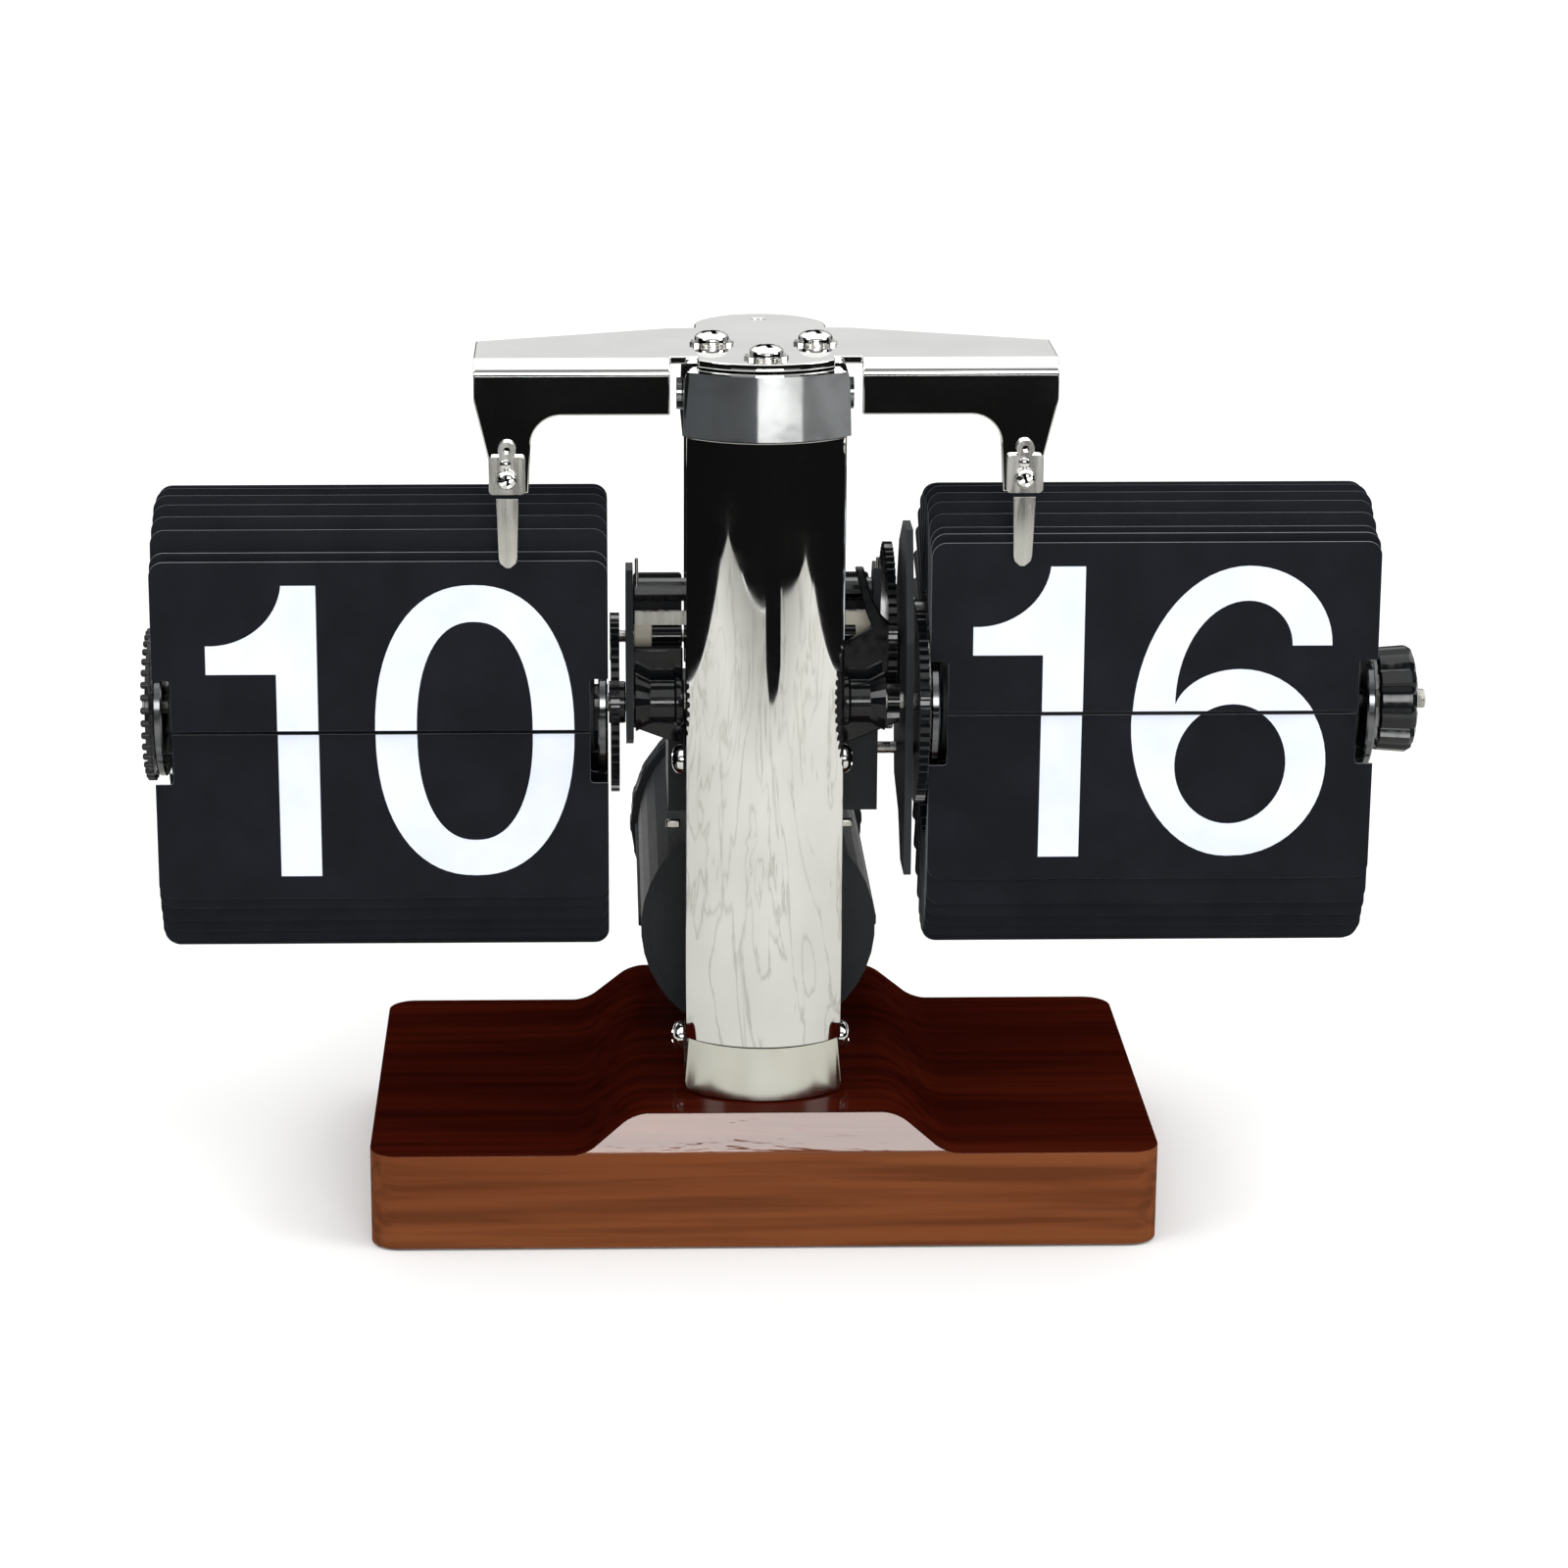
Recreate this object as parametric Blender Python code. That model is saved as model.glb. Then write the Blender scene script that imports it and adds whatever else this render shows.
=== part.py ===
"""Flip number clock with a chrome column, two split-flap drums and a wooden base.

The frame is in metres with +Z up. The origin is the middle of the felt pad's bottom face,
+X runs towards the minute display and -Y towards the viewer. Sizes below are in millimetres.
"""
import math

import bmesh
import bpy

MM = 0.001
GAP = 0.3

# Base
BASE_WIDTH = 126.9
BASE_DEPTH = 76.1
BASE_WING_TOP = 16.2
BASE_TOP = 22.6
BASE_RISE_TOP_WIDTH = 42.0
BASE_RISE_FOOT_WIDTH = 58.0
BASE_CORNER = 4.5
BASE_EDGE = 1.4
BASE_UNDERSIDE = 0.4
PAD_INSET = 5.0
PAD_THICKNESS = 1.0

# Column: a shell with a curved front and an open rear
COLUMN_HALF = 12.5
COLUMN_FRONT = -31.2
COLUMN_SAGITTA = 5.3
COLUMN_REAR = -5.0
FOOT_WALL = 2.0
CORE_WALL = 1.8
CORE_SHELVES = ((110.0, 112.0), (48.0, 50.0))
BEARING_BLOCK_HALF = 5.0
CAP_WALL = 1.4
CAP_POCKET = 4.0
COLUMN_WALL = 1.3
FOOT_SEAM = 31.5
SHELL_TOP = 130.9
CAP_OVERHANG = 0.6
CAP_TOP = 141.0
BACK_THICKNESS = 1.1

# Drum axle and leaves
AXLE_Y = -13.1
AXLE_Z = 84.6
PIVOT_RADIUS = 10.4
SHAFT_RADIUS = 1.5
DISC_RADIUS = 11.2
DISC_WIDTH = 1.7
LEAF_LENGTH = 27.6
LEAF_THICKNESS = 0.5
LEAF_PLANE = -23.3
LEAF_LEAN = 2.0
LEAF_CORNER = 2.3
NOTCH_WIDTH = 2.9
NOTCH_LENGTH = 8.5
FAN_CORE_RADIUS = 10.8
FAN_HOLE_RADIUS = 4.0
FAN_LEAF_THICKNESS = 0.7
FAN_LEAVES = 15
FAN_FIRST_TURN = 44.0
FAN_LAST_TURN = 318.0
FAN_FRONT = -21.3
MINUTE_LEAF_SPAN = (26.3, 97.4)
HOUR_LEAF_SPAN = (-97.0, -24.8)
MINUTE_HINGE_Z = 85.2
HOUR_HINGE_Z = 82.6

# Gear train, all wheels of one module
MODULE = 0.5
WHEEL_WIDTH = 1.4
MINUTE_WHEEL_TEETH = 64
MOTOR_PINION_TEETH = 12
MINUTE_PINION_TEETH = 10
TRANSFER_WHEEL_TEETH = 60
TRANSFER_PINION_TEETH = 14
HOUR_WHEEL_TEETH = 56
TRANSFER_ANGLE = math.radians(23.0)
MOTOR_ANGLE = math.radians(-39.0)
ARBOR_RADIUS = 1.0
MINUTE_WHEEL_X = (24.4, 25.9)
HOUR_WHEEL_X = (-24.4, -23.0)
TRANSFER_WHEEL_X = (20.4, 21.8)
TRANSFER_PINION_X = (-24.5, -22.9)

# Frame behind the column
LEFT_PLATE_X = (-21.9, -20.7)
RIGHT_PLATE_X = (22.7, 23.9)
INNER_PLATE_X = (18.4, 19.6)
CASE_X = (-15.0, 19.4)
CASE_Y = (-3.4, 18.5)
CASE_Z = (63.4, 81.5)
CASE_WALL = 1.2

# Battery holder for one large round cell, lying front to back
BATTERY_Z = 42.5
BATTERY_TUBE_Y = (-1.4, 58.0)
BATTERY_CAP_RADIUS = 20.7
BATTERY_OUTER = 19.5
BATTERY_INNER = 17.9
CELL_RADIUS = 16.8
CELL_LENGTH = 60.0

# Top bracket, a folded sheet
BRACKET_TOP = 142.4
SHEET = 1.2
WING_HALF = 45.5
WING_FRONT = -24.1
WING_REAR_TIP = -7.4
WING_REAR_ROOT = 3.8
BEND_RADIUS = 2.6
FLANGE_BOTTOM = 133.7
FLANGE_INNER = 13.8
ARM_BOTTOM = 121.4
DISC_FRONT = -28.2
DISC_REAR = 16.9
DISC_HALF = 10.6
FINGER_X = 40.4
FINGER_TIP = 109.4
FINGER_TOP = 121.0

# Setting knob
KNOB_X = (98.4, 104.9)
KNOB_RADIUS = 8.75
KNOB_LOBES = 14

CHROME = ((0.80, 0.80, 0.78, 1.0), 0.08, 1.0)
STEEL = ((0.58, 0.58, 0.57, 1.0), 0.25, 1.0)
BRASS = ((0.72, 0.52, 0.22, 1.0), 0.3, 1.0)
BLACK_PLASTIC = ((0.014, 0.015, 0.018, 1.0), 0.35, 0.0)
LEAF_PLASTIC = ((0.017, 0.019, 0.024, 1.0), 0.5, 0.0)
WHITE_PLASTIC = ((0.75, 0.74, 0.68, 1.0), 0.4, 0.0)
WOOD = ((0.16, 0.035, 0.014, 1.0), 0.22, 0.0)
FELT = ((0.02, 0.02, 0.022, 1.0), 0.95, 0.0)
GREEN_BOARD = ((0.02, 0.13, 0.05, 1.0), 0.4, 0.0)
CELL_STEEL = ((0.35, 0.35, 0.36, 1.0), 0.3, 1.0)


def clear_scene():
    for item in list(bpy.data.objects):
        bpy.data.objects.remove(item, do_unlink=True)


def material(name, look):
    colour, roughness, metallic = look
    result = bpy.data.materials.new(name)
    result.use_nodes = True
    shader = result.node_tree.nodes["Principled BSDF"]
    shader.inputs["Base Color"].default_value = colour
    shader.inputs["Roughness"].default_value = roughness
    shader.inputs["Metallic"].default_value = metallic
    return result


def add_object(name, shape, look, origin=(0.0, 0.0, 0.0), smooth=False):
    """Turn a bmesh in millimetres into an object whose origin is at the given point."""
    offset = [-value for value in origin]
    bmesh.ops.translate(shape, verts=shape.verts, vec=offset)
    bmesh.ops.scale(shape, verts=shape.verts, vec=(MM, MM, MM))
    bmesh.ops.recalc_face_normals(shape, faces=shape.faces)
    mesh = bpy.data.meshes.new(name)
    shape.to_mesh(mesh)
    shape.free()
    result = bpy.data.objects.new(name, mesh)
    result.location = [value * MM for value in origin]
    bpy.context.scene.collection.objects.link(result)
    if look is not None:
        mesh.materials.append(material(name, look))
    if smooth:
        mesh.shade_smooth()
        mesh.set_sharp_from_angle(angle=math.radians(35))
    return result


def boolean(target, tool, operation):
    modifier = target.modifiers.new(f"{operation.lower()}_{tool.name}", "BOOLEAN")
    modifier.operation = operation
    modifier.object = tool
    tool.hide_render = True
    tool.display_type = "WIRE"


def bevel(target, width, segments=1, angle=50):
    modifier = target.modifiers.new("bevel", "BEVEL")
    modifier.width = width * MM
    modifier.segments = segments
    modifier.limit_method = "ANGLE"
    modifier.angle_limit = math.radians(angle)
    return modifier


def prism(outline, low, high, axis):
    """Extrude a closed outline along X, Y or Z. The outline is in the other two axes, in order."""
    places = {"X": lambda a, b, h: (h, a, b), "Y": lambda a, b, h: (a, h, b), "Z": lambda a, b, h: (a, b, h)}
    place = places[axis]
    shape = bmesh.new()
    lower = [shape.verts.new(place(a, b, low)) for a, b in outline]
    upper = [shape.verts.new(place(a, b, high)) for a, b in outline]
    count = len(outline)
    for index in range(count):
        following = (index + 1) % count
        shape.faces.new((lower[index], lower[following], upper[following], upper[index]))
    shape.faces.new(list(reversed(lower)))
    shape.faces.new(upper)
    return shape


def block(x_span, y_span, z_span):
    outline = [
        (x_span[0], y_span[0]),
        (x_span[1], y_span[0]),
        (x_span[1], y_span[1]),
        (x_span[0], y_span[1]),
    ]
    return prism(outline, z_span[0], z_span[1], "Z")


def turned(profile, centre, axis, sides=24):
    """Turn (position along the axis, radius) points about an axis through a point.

    A profile that starts and ends at radius zero gives a solid. Any other profile is closed
    on itself and gives a ring.
    """
    shape = bmesh.new()
    solid = profile[0][1] == 0.0 and profile[-1][1] == 0.0
    rings = []
    for along, radius in profile:
        if radius == 0.0:
            rings.append([shape.verts.new(axis_point(along, 0.0, 0.0, centre, axis))])
            continue
        ring = []
        for index in range(sides):
            turn = 2.0 * math.pi * (index + 0.5) / sides
            point = axis_point(along, radius * math.cos(turn), radius * math.sin(turn), centre, axis)
            ring.append(shape.verts.new(point))
        rings.append(ring)
    pairs = list(zip(rings, rings[1:]))
    if not solid:
        pairs.append((rings[-1], rings[0]))
    for first, second in pairs:
        for index in range(sides):
            following = (index + 1) % sides
            corners = [first[index % len(first)], first[following % len(first)]]
            corners += [second[following % len(second)], second[index % len(second)]]
            unique = list(dict.fromkeys(corners))
            shape.faces.new(unique)
    return shape


def axis_point(along, first, second, centre, axis):
    """Place a point that is given along an axis and in the plane across it."""
    if axis == "X":
        return (along, centre[0] + first, centre[1] + second)
    if axis == "Y":
        return (centre[0] + first, along, centre[1] + second)
    return (centre[0] + first, centre[1] + second, along)


def cylinder(span, radius, centre, axis, sides=24):
    return turned([(span[0], 0.0), (span[0], radius), (span[1], radius), (span[1], 0.0)], centre, axis, sides)


def tube(span, outer, inner, centre, axis, sides=24):
    profile = [(span[0], inner), (span[0], outer), (span[1], outer), (span[1], inner)]
    return turned(profile, centre, axis, sides)


def arc(centre, radius, start, end, steps):
    """Points on an arc between two angles in degrees, both ends included."""
    points = []
    for index in range(steps + 1):
        turn = math.radians(start + (end - start) * index / steps)
        points.append((centre[0] + radius * math.cos(turn), centre[1] + radius * math.sin(turn)))
    return points


def rounded_rectangle(x_span, y_span, radius, steps=4):
    x_low, x_high = x_span
    y_low, y_high = y_span
    corners = [
        ((x_high - radius, y_low + radius), -90),
        ((x_high - radius, y_high - radius), 0),
        ((x_low + radius, y_high - radius), 90),
        ((x_low + radius, y_low + radius), 180),
    ]
    points = []
    for centre, start in corners:
        points += arc(centre, radius, start, start + 90, steps)
    return points


def merge_into(target, extra):
    """Add the faces of one bmesh to another, as a separate shell."""
    lookup = {vert: target.verts.new(vert.co) for vert in extra.verts}
    for face in extra.faces:
        target.faces.new([lookup[vert] for vert in face.verts])
    extra.free()
    return target


def ring_vertex(shape, along, radius, turn, centre):
    return shape.verts.new(axis_point(along, radius * math.cos(turn), radius * math.sin(turn), centre, "X"))


def gear(teeth, span, centre, phase, bore):
    """A spur wheel about an X axis with straight-flanked teeth and working backlash."""
    pitch_radius = MODULE * teeth / 2.0
    tip = pitch_radius + 0.80 * MODULE
    root = pitch_radius - 1.15 * MODULE
    step = 2.0 * math.pi / teeth
    tooth_pitch = math.pi * MODULE
    half_root = 0.27 * tooth_pitch / root
    half_tip = 0.10 * tooth_pitch / tip
    shape = bmesh.new()
    layers = []
    for along in span:
        outer = []
        inner = []
        for index in range(teeth):
            middle = phase + index * step
            for turn, radius in (
                (middle - half_root, root),
                (middle - half_tip, tip),
                (middle + half_tip, tip),
                (middle + half_root, root),
            ):
                outer.append((turn, radius))
            inner.append(middle)
        ring = [ring_vertex(shape, along, radius, turn, centre) for turn, radius in outer]
        hole = [ring_vertex(shape, along, bore, turn, centre) for turn in inner]
        layers.append((ring, hole))
    (ring_low, hole_low), (ring_high, hole_high) = layers
    count = len(ring_low)
    for index in range(count):
        following = (index + 1) % count
        shape.faces.new((ring_low[index], ring_low[following], ring_high[following], ring_high[index]))
    for index in range(teeth):
        following = (index + 1) % teeth
        shape.faces.new((hole_low[index], hole_low[following], hole_high[following], hole_high[index]))
    for ring, hole in layers:
        for index in range(teeth):
            following = (index + 1) % teeth
            a, b, c, d = ring[4 * index : 4 * index + 4]
            shape.faces.new((a, b, c, d))
            shape.faces.new((a, d, hole[index]))
            shape.faces.new((d, ring[4 * following], hole[following], hole[index]))
    return shape


def arbor_point(teeth_total, angle):
    """Centre of an arbor that meshes with a wheel on the axle."""
    distance = MODULE * teeth_total / 2.0
    return (AXLE_Y + distance * math.cos(angle), AXLE_Z + distance * math.sin(angle))


AXLE = (AXLE_Y, AXLE_Z)
TRANSFER = arbor_point(MINUTE_PINION_TEETH + TRANSFER_WHEEL_TEETH, TRANSFER_ANGLE)
MOTOR = arbor_point(MINUTE_WHEEL_TEETH + MOTOR_PINION_TEETH, MOTOR_ANGLE)


def column_outline(grow, rear):
    """The column's plan: straight sides with a shallow curved front."""
    half = COLUMN_HALF + grow
    front = COLUMN_FRONT - grow
    sagitta = COLUMN_SAGITTA
    radius = (half * half + sagitta * sagitta) / (2.0 * sagitta)
    sweep = math.degrees(math.asin(half / radius))
    points = arc((0.0, front + radius), radius, -90 - sweep, -90 + sweep, 16)
    return points + [(half, rear), (-half, rear)]


def column_solid(name, grow, rear, z_span):
    """A chrome solid with the column's plan."""
    return add_object(name, prism(column_outline(grow, rear), z_span[0], z_span[1], "Z"), CHROME, smooth=True)


def drill(name, targets, span, radius, centre, axis):
    """Cut a round hole through one or more solids."""
    hole = add_object(name, cylinder(span, radius, centre, axis, 12), None)
    for target in targets:
        boolean(target, hole, "DIFFERENCE")


def channel(name, grow, wall, rear, z_span, look):
    """A U-shaped wall that follows the column's plan and is open at the rear."""
    solid = prism(column_outline(grow, rear), z_span[0], z_span[1], "Z")
    result = add_object(name, solid, look, smooth=True)
    hollow = prism(column_outline(grow - wall, rear + 2.0), z_span[0] - 1.0, z_span[1] + 1.0, "Z")
    boolean(result, add_object(f"{name}_hollow", hollow, None), "DIFFERENCE")
    return result


def build_base():
    half = BASE_WIDTH / 2.0
    rise_top = BASE_RISE_TOP_WIDTH / 2.0
    rise_foot = BASE_RISE_FOOT_WIDTH / 2.0
    profile = [
        (-half, BASE_UNDERSIDE),
        (half, BASE_UNDERSIDE),
        (half, BASE_WING_TOP),
        (rise_foot, BASE_WING_TOP),
        (rise_top, BASE_TOP),
        (-rise_top, BASE_TOP),
        (-rise_foot, BASE_WING_TOP),
        (-half, BASE_WING_TOP),
    ]
    depth = BASE_DEPTH / 2.0
    shape = prism(profile, -depth, depth, "Y")
    base = add_object("base_block", shape, WOOD, smooth=True)
    corners = base.data.attributes.new("bevel_weight_edge", "FLOAT", "EDGE")
    for edge in base.data.edges:
        ends = [base.data.vertices[index].co for index in edge.vertices]
        upright = abs(ends[0].x - ends[1].x) < 1e-6 and abs(ends[0].y - ends[1].y) < 1e-6
        corners.data[edge.index].value = 1.0 if upright else 0.0
    rounding = base.modifiers.new("corners", "BEVEL")
    rounding.width = BASE_CORNER * MM
    rounding.segments = 5
    rounding.limit_method = "WEIGHT"
    bevel(base, BASE_EDGE, segments=3, angle=40)
    x_span = (-half + PAD_INSET, half - PAD_INSET)
    y_span = (-depth + PAD_INSET, depth - PAD_INSET)
    pad_outline = rounded_rectangle(x_span, y_span, BASE_CORNER)
    add_object("base_pad", prism(pad_outline, 0.0, PAD_THICKNESS, "Z"), FELT)
    pocket_outline = rounded_rectangle(
        (x_span[0] - GAP, x_span[1] + GAP), (y_span[0] - GAP, y_span[1] + GAP), BASE_CORNER + GAP
    )
    pocket = add_object("pad_pocket", prism(pocket_outline, -1.0, PAD_THICKNESS + GAP, "Z"), None)
    boolean(base, pocket, "DIFFERENCE")


def screw(name, centre, axis, head_from, head_to, head_radius, shank_to, shank_radius, look=CHROME):
    """A pan-head screw. The head runs outwards from its seat and the shank runs inwards."""
    thick = head_to - head_from
    profile = [
        (head_to, 0.0),
        (head_to, 0.45 * head_radius),
        (head_to - 0.22 * thick, 0.8 * head_radius),
        (head_to - 0.65 * thick, head_radius),
        (head_from, head_radius),
        (head_from, shank_radius),
        (shank_to, shank_radius),
        (shank_to, 0.0),
    ]
    return add_object(name, turned(profile, centre, axis, 16), look, smooth=True)


def build_column():
    foot_low = BASE_TOP + GAP
    foot = column_solid("column_foot", 0.0, COLUMN_REAR, (foot_low, FOOT_SEAM))
    foot_hollow = prism(column_outline(-FOOT_WALL, COLUMN_REAR - FOOT_WALL), foot_low + 2.5, FOOT_SEAM + 1.0, "Z")
    boolean(foot, add_object("foot_hollow", foot_hollow, None), "DIFFERENCE")
    shell_low = FOOT_SEAM + GAP
    z_span = (shell_low, SHELL_TOP - GAP)
    shell = channel("column_shell", 0.0, COLUMN_WALL, COLUMN_REAR, z_span, CHROME)
    core_grow = -COLUMN_WALL - GAP
    core_rear = COLUMN_REAR - 0.8
    core = channel("column_core", core_grow, CORE_WALL, core_rear, z_span, BLACK_PLASTIC)
    inner_half = COLUMN_HALF + core_grow - CORE_WALL / 2.0
    across = (-inner_half, inner_half)
    half = BEARING_BLOCK_HALF
    webs = block(across, (AXLE_Y - half, AXLE_Y + half), (AXLE_Z - half, AXLE_Z + half))
    shelf_y = (COLUMN_FRONT + 8.0, core_rear - 0.6)
    for shelf in CORE_SHELVES:
        merge_into(webs, block(across, shelf_y, shelf))
    boolean(core, add_object("core_webs", webs, None), "UNION")
    bore = add_object("axle_bore", cylinder((-20.0, 20.0), SHAFT_RADIUS + GAP, AXLE, "X", 16), None)
    boolean(shell, bore, "DIFFERENCE")
    boolean(core, bore, "DIFFERENCE")
    back_y = (COLUMN_REAR + GAP, COLUMN_REAR + GAP + BACK_THICKNESS)
    back_half = COLUMN_HALF - 0.4
    back = block((-back_half, back_half), back_y, (foot_low, SHELL_TOP - GAP))
    add_object("column_back", back, BLACK_PLASTIC)
    build_column_cap()
    build_column_screws(shell, core, foot)


def build_column_cap():
    cap = column_solid("column_cap", CAP_OVERHANG, COLUMN_REAR + CAP_WALL, (SHELL_TOP, CAP_TOP))
    rim = bevel(cap, 1.0, segments=3, angle=60)
    rim.limit_method = "WEIGHT"
    weights = cap.data.attributes.new("bevel_weight_edge", "FLOAT", "EDGE")
    for edge in cap.data.edges:
        heights = [cap.data.vertices[index].co.z for index in edge.vertices]
        top_rim = min(heights) > (CAP_TOP - 0.01) * MM
        weights.data[edge.index].value = 1.0 if top_rim else 0.0
    hollow = prism(column_outline(-CAP_WALL, COLUMN_REAR), SHELL_TOP - 1.0, SHELL_TOP + CAP_POCKET, "Z")
    boolean(cap, add_object("cap_hollow", hollow, None), "DIFFERENCE")


def build_column_screws(shell, core, foot):
    for side_name, side in (("left", -1.0), ("right", 1.0)):
        for level_name, height, body in (("upper", 75.5, (shell, core)), ("lower", 28.2, (foot,))):
            centre = (-14.8, height)
            name = f"side_screw_{level_name}_{side_name}"
            seat = side * (COLUMN_HALF + GAP)
            outer = side * (COLUMN_HALF + 1.9)
            tip = side * (COLUMN_HALF - 4.6)
            screw(name, centre, "X", seat, outer, 2.4, tip, 1.1)
            hole_span = sorted((side * (COLUMN_HALF - 6.0), side * (COLUMN_HALF + 2.5)))
            drill(f"{name}_hole", body, hole_span, 1.1 + GAP, centre, "X")


def wing_section():
    """Section of a bracket wing across X: a top sheet bent down into the front flange."""
    outer_centre = (WING_FRONT + BEND_RADIUS, BRACKET_TOP - BEND_RADIUS)
    outer = arc(outer_centre, BEND_RADIUS, 90, 180, 5)
    inner = arc(outer_centre, BEND_RADIUS - SHEET, 180, 90, 5)
    rear = WING_REAR_ROOT + 4.0
    points = [(rear, BRACKET_TOP)] + outer + [(WING_FRONT, ARM_BOTTOM), (WING_FRONT + SHEET, ARM_BOTTOM)]
    return points + inner + [(rear, BRACKET_TOP - SHEET)]


def build_bracket():
    root = 9.0
    middle = prism(disc_outline(), BRACKET_TOP - SHEET, BRACKET_TOP, "Z")
    bracket = add_object("top_bracket", middle, CHROME, smooth=True)
    for side_name, side in (("left", -1.0), ("right", 1.0)):
        span = sorted((side * root, side * WING_HALF))
        wing = add_object(f"wing_{side_name}", prism(wing_section(), span[0], span[1], "X"), None)
        boolean(wing, add_object(f"flange_cut_{side_name}", flange_cutter(side), None), "DIFFERENCE")
        boolean(wing, add_object(f"rear_cut_{side_name}", rear_cutter(side), None), "DIFFERENCE")
        boolean(wing, add_object(f"root_cut_{side_name}", root_cutter(side), None), "DIFFERENCE")
        boolean(bracket, wing, "UNION")
    cap = bpy.data.objects["column_cap"]
    shank = 1.4
    for name, x_place, y_place in bracket_screw_places():
        centre = (x_place, y_place)
        drill(f"{name}_hole", (bracket, cap), (CAP_TOP - 4.0, BRACKET_TOP + 3.0), shank + GAP, centre, "Z")
        screw(name, centre, "Z", BRACKET_TOP + GAP, BRACKET_TOP + 2.4, 3.3, CAP_TOP - 3.4, shank)


def bracket_screw_places():
    return [
        ("bracket_screw_left", -8.2, -10.4),
        ("bracket_screw_right", 8.2, -10.4),
        ("bracket_screw_front", 0.0, -22.6),
    ]


def disc_outline():
    """Plan of the bracket's middle: a plate with an arched front and a rounder rear."""
    front_rise = WING_FRONT - DISC_FRONT
    front_radius = (DISC_HALF**2 + front_rise**2) / (2.0 * front_rise)
    front_sweep = math.degrees(math.asin(DISC_HALF / front_radius))
    front = arc((0.0, DISC_FRONT + front_radius), front_radius, -90 - front_sweep, -90 + front_sweep, 10)
    rear_base = DISC_REAR - DISC_HALF
    rear = arc((0.0, rear_base), DISC_HALF, 0, 180, 12)
    return front + rear


def flange_cutter(side):
    """Removes the flange below the wing, all but the arm at its end."""
    arm_inner = 36.7
    fillet = 4.8
    corner = (arm_inner - fillet, FLANGE_BOTTOM - fillet)
    below = ARM_BOTTOM - 2.0
    points = [(0.0, below), (arm_inner + 0.5, below), (arm_inner, FLANGE_BOTTOM - fillet)]
    points += arc(corner, fillet, 0, 90, 5)[1:]
    points.append((0.0, FLANGE_BOTTOM))
    outline = [(side * x, z) for x, z in points]
    beyond = WING_HALF + 1.0
    taper = [(beyond, below), (beyond, 136.0), (WING_HALF, 136.0), (42.4, 122.8)]
    taper += [(41.2, ARM_BOTTOM), (41.2, below)]
    shape = prism(outline, WING_FRONT - 2.0, WING_FRONT + 6.0, "Y")
    outer = prism([(side * x, z) for x, z in taper], WING_FRONT - 2.0, WING_FRONT + 6.0, "Y")
    return merge_into(shape, outer)


def rear_cutter(side):
    """Tapers the wing's rear edge towards its tip."""
    outline = [
        (side * 5.0, WING_REAR_ROOT + 10.0),
        (side * 5.0, WING_REAR_ROOT + 0.9),
        (side * 15.0, WING_REAR_ROOT),
        (side * WING_HALF, WING_REAR_TIP),
        (side * (WING_HALF + 2.0), WING_REAR_TIP),
        (side * (WING_HALF + 2.0), WING_REAR_ROOT + 10.0),
    ]
    return prism(outline, FLANGE_BOTTOM - 20.0, BRACKET_TOP + 2.0, "Z")


def root_cutter(side):
    """Clears the flange and the bend away from the column's cap."""
    outline = [
        (side * 5.0, WING_FRONT - 2.0),
        (side * FLANGE_INNER, WING_FRONT - 2.0),
        (side * FLANGE_INNER, WING_FRONT + BEND_RADIUS + 0.4),
        (side * 5.0, WING_FRONT + BEND_RADIUS + 0.4),
    ]
    return prism(outline, ARM_BOTTOM - 2.0, BRACKET_TOP + 2.0, "Z")


def build_retainer(name, side):
    """The plate, its screw and the leaf spring that holds one display's front leaf."""
    middle = side * FINGER_X
    front = WING_FRONT - GAP
    outline = rounded_rectangle((middle - 2.85, middle + 2.85), (ARM_BOTTOM, ARM_BOTTOM + 6.0), 0.8, 2)
    plate = add_object(f"{name}_retainer", prism(outline, front - 0.8, front, "Y"), STEEL)
    eyelet = cylinder((front - 0.8, front), 1.35, (middle, ARM_BOTTOM + 7.1), "Y", 14)
    boolean(plate, add_object(f"{name}_eyelet", eyelet, None), "UNION")
    screw_z = ARM_BOTTOM + 2.4
    centre = (middle, screw_z)
    bracket = bpy.data.objects["top_bracket"]
    shank = 0.8
    hole_span = (front - 2.0, WING_FRONT + SHEET + 1.0)
    drill(f"{name}_retainer_hole", (plate, bracket), hole_span, shank + GAP, centre, "Y")
    screw(f"{name}_retainer_screw", centre, "Y", front - 1.1, front - 2.3, 1.6, WING_FRONT + SHEET, shank)
    build_finger(name, middle, front)


def build_finger(name, middle, front):
    top_y = front - 0.35
    tip_y = LEAF_PLANE + 0.1
    thickness = 0.35
    tip_half = 1.4
    top_half = 1.75
    shape = bmesh.new()
    tip = arc((0.0, 0.0), tip_half, 180, 360, 6)
    plan = [(top_half, FINGER_TOP - GAP), (-top_half, FINGER_TOP - GAP)]
    plan += [(x, FINGER_TIP + tip_half + z) for x, z in tip]
    layers = []
    for shift in (0.0, -thickness):
        layer = []
        for x, z in plan:
            share = (FINGER_TOP - z) / (FINGER_TOP - FINGER_TIP)
            y = top_y + (tip_y - 0.55 - top_y) * share + shift
            layer.append(shape.verts.new((middle + x, y, z)))
        layers.append(layer)
    rear_layer, front_layer = layers
    count = len(plan)
    for index in range(count):
        following = (index + 1) % count
        rear_edge = (rear_layer[index], rear_layer[following])
        shape.faces.new((*rear_edge, front_layer[following], front_layer[index]))
    shape.faces.new(front_layer)
    shape.faces.new(list(reversed(rear_layer)))
    add_object(f"{name}_finger", shape, STEEL)


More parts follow.
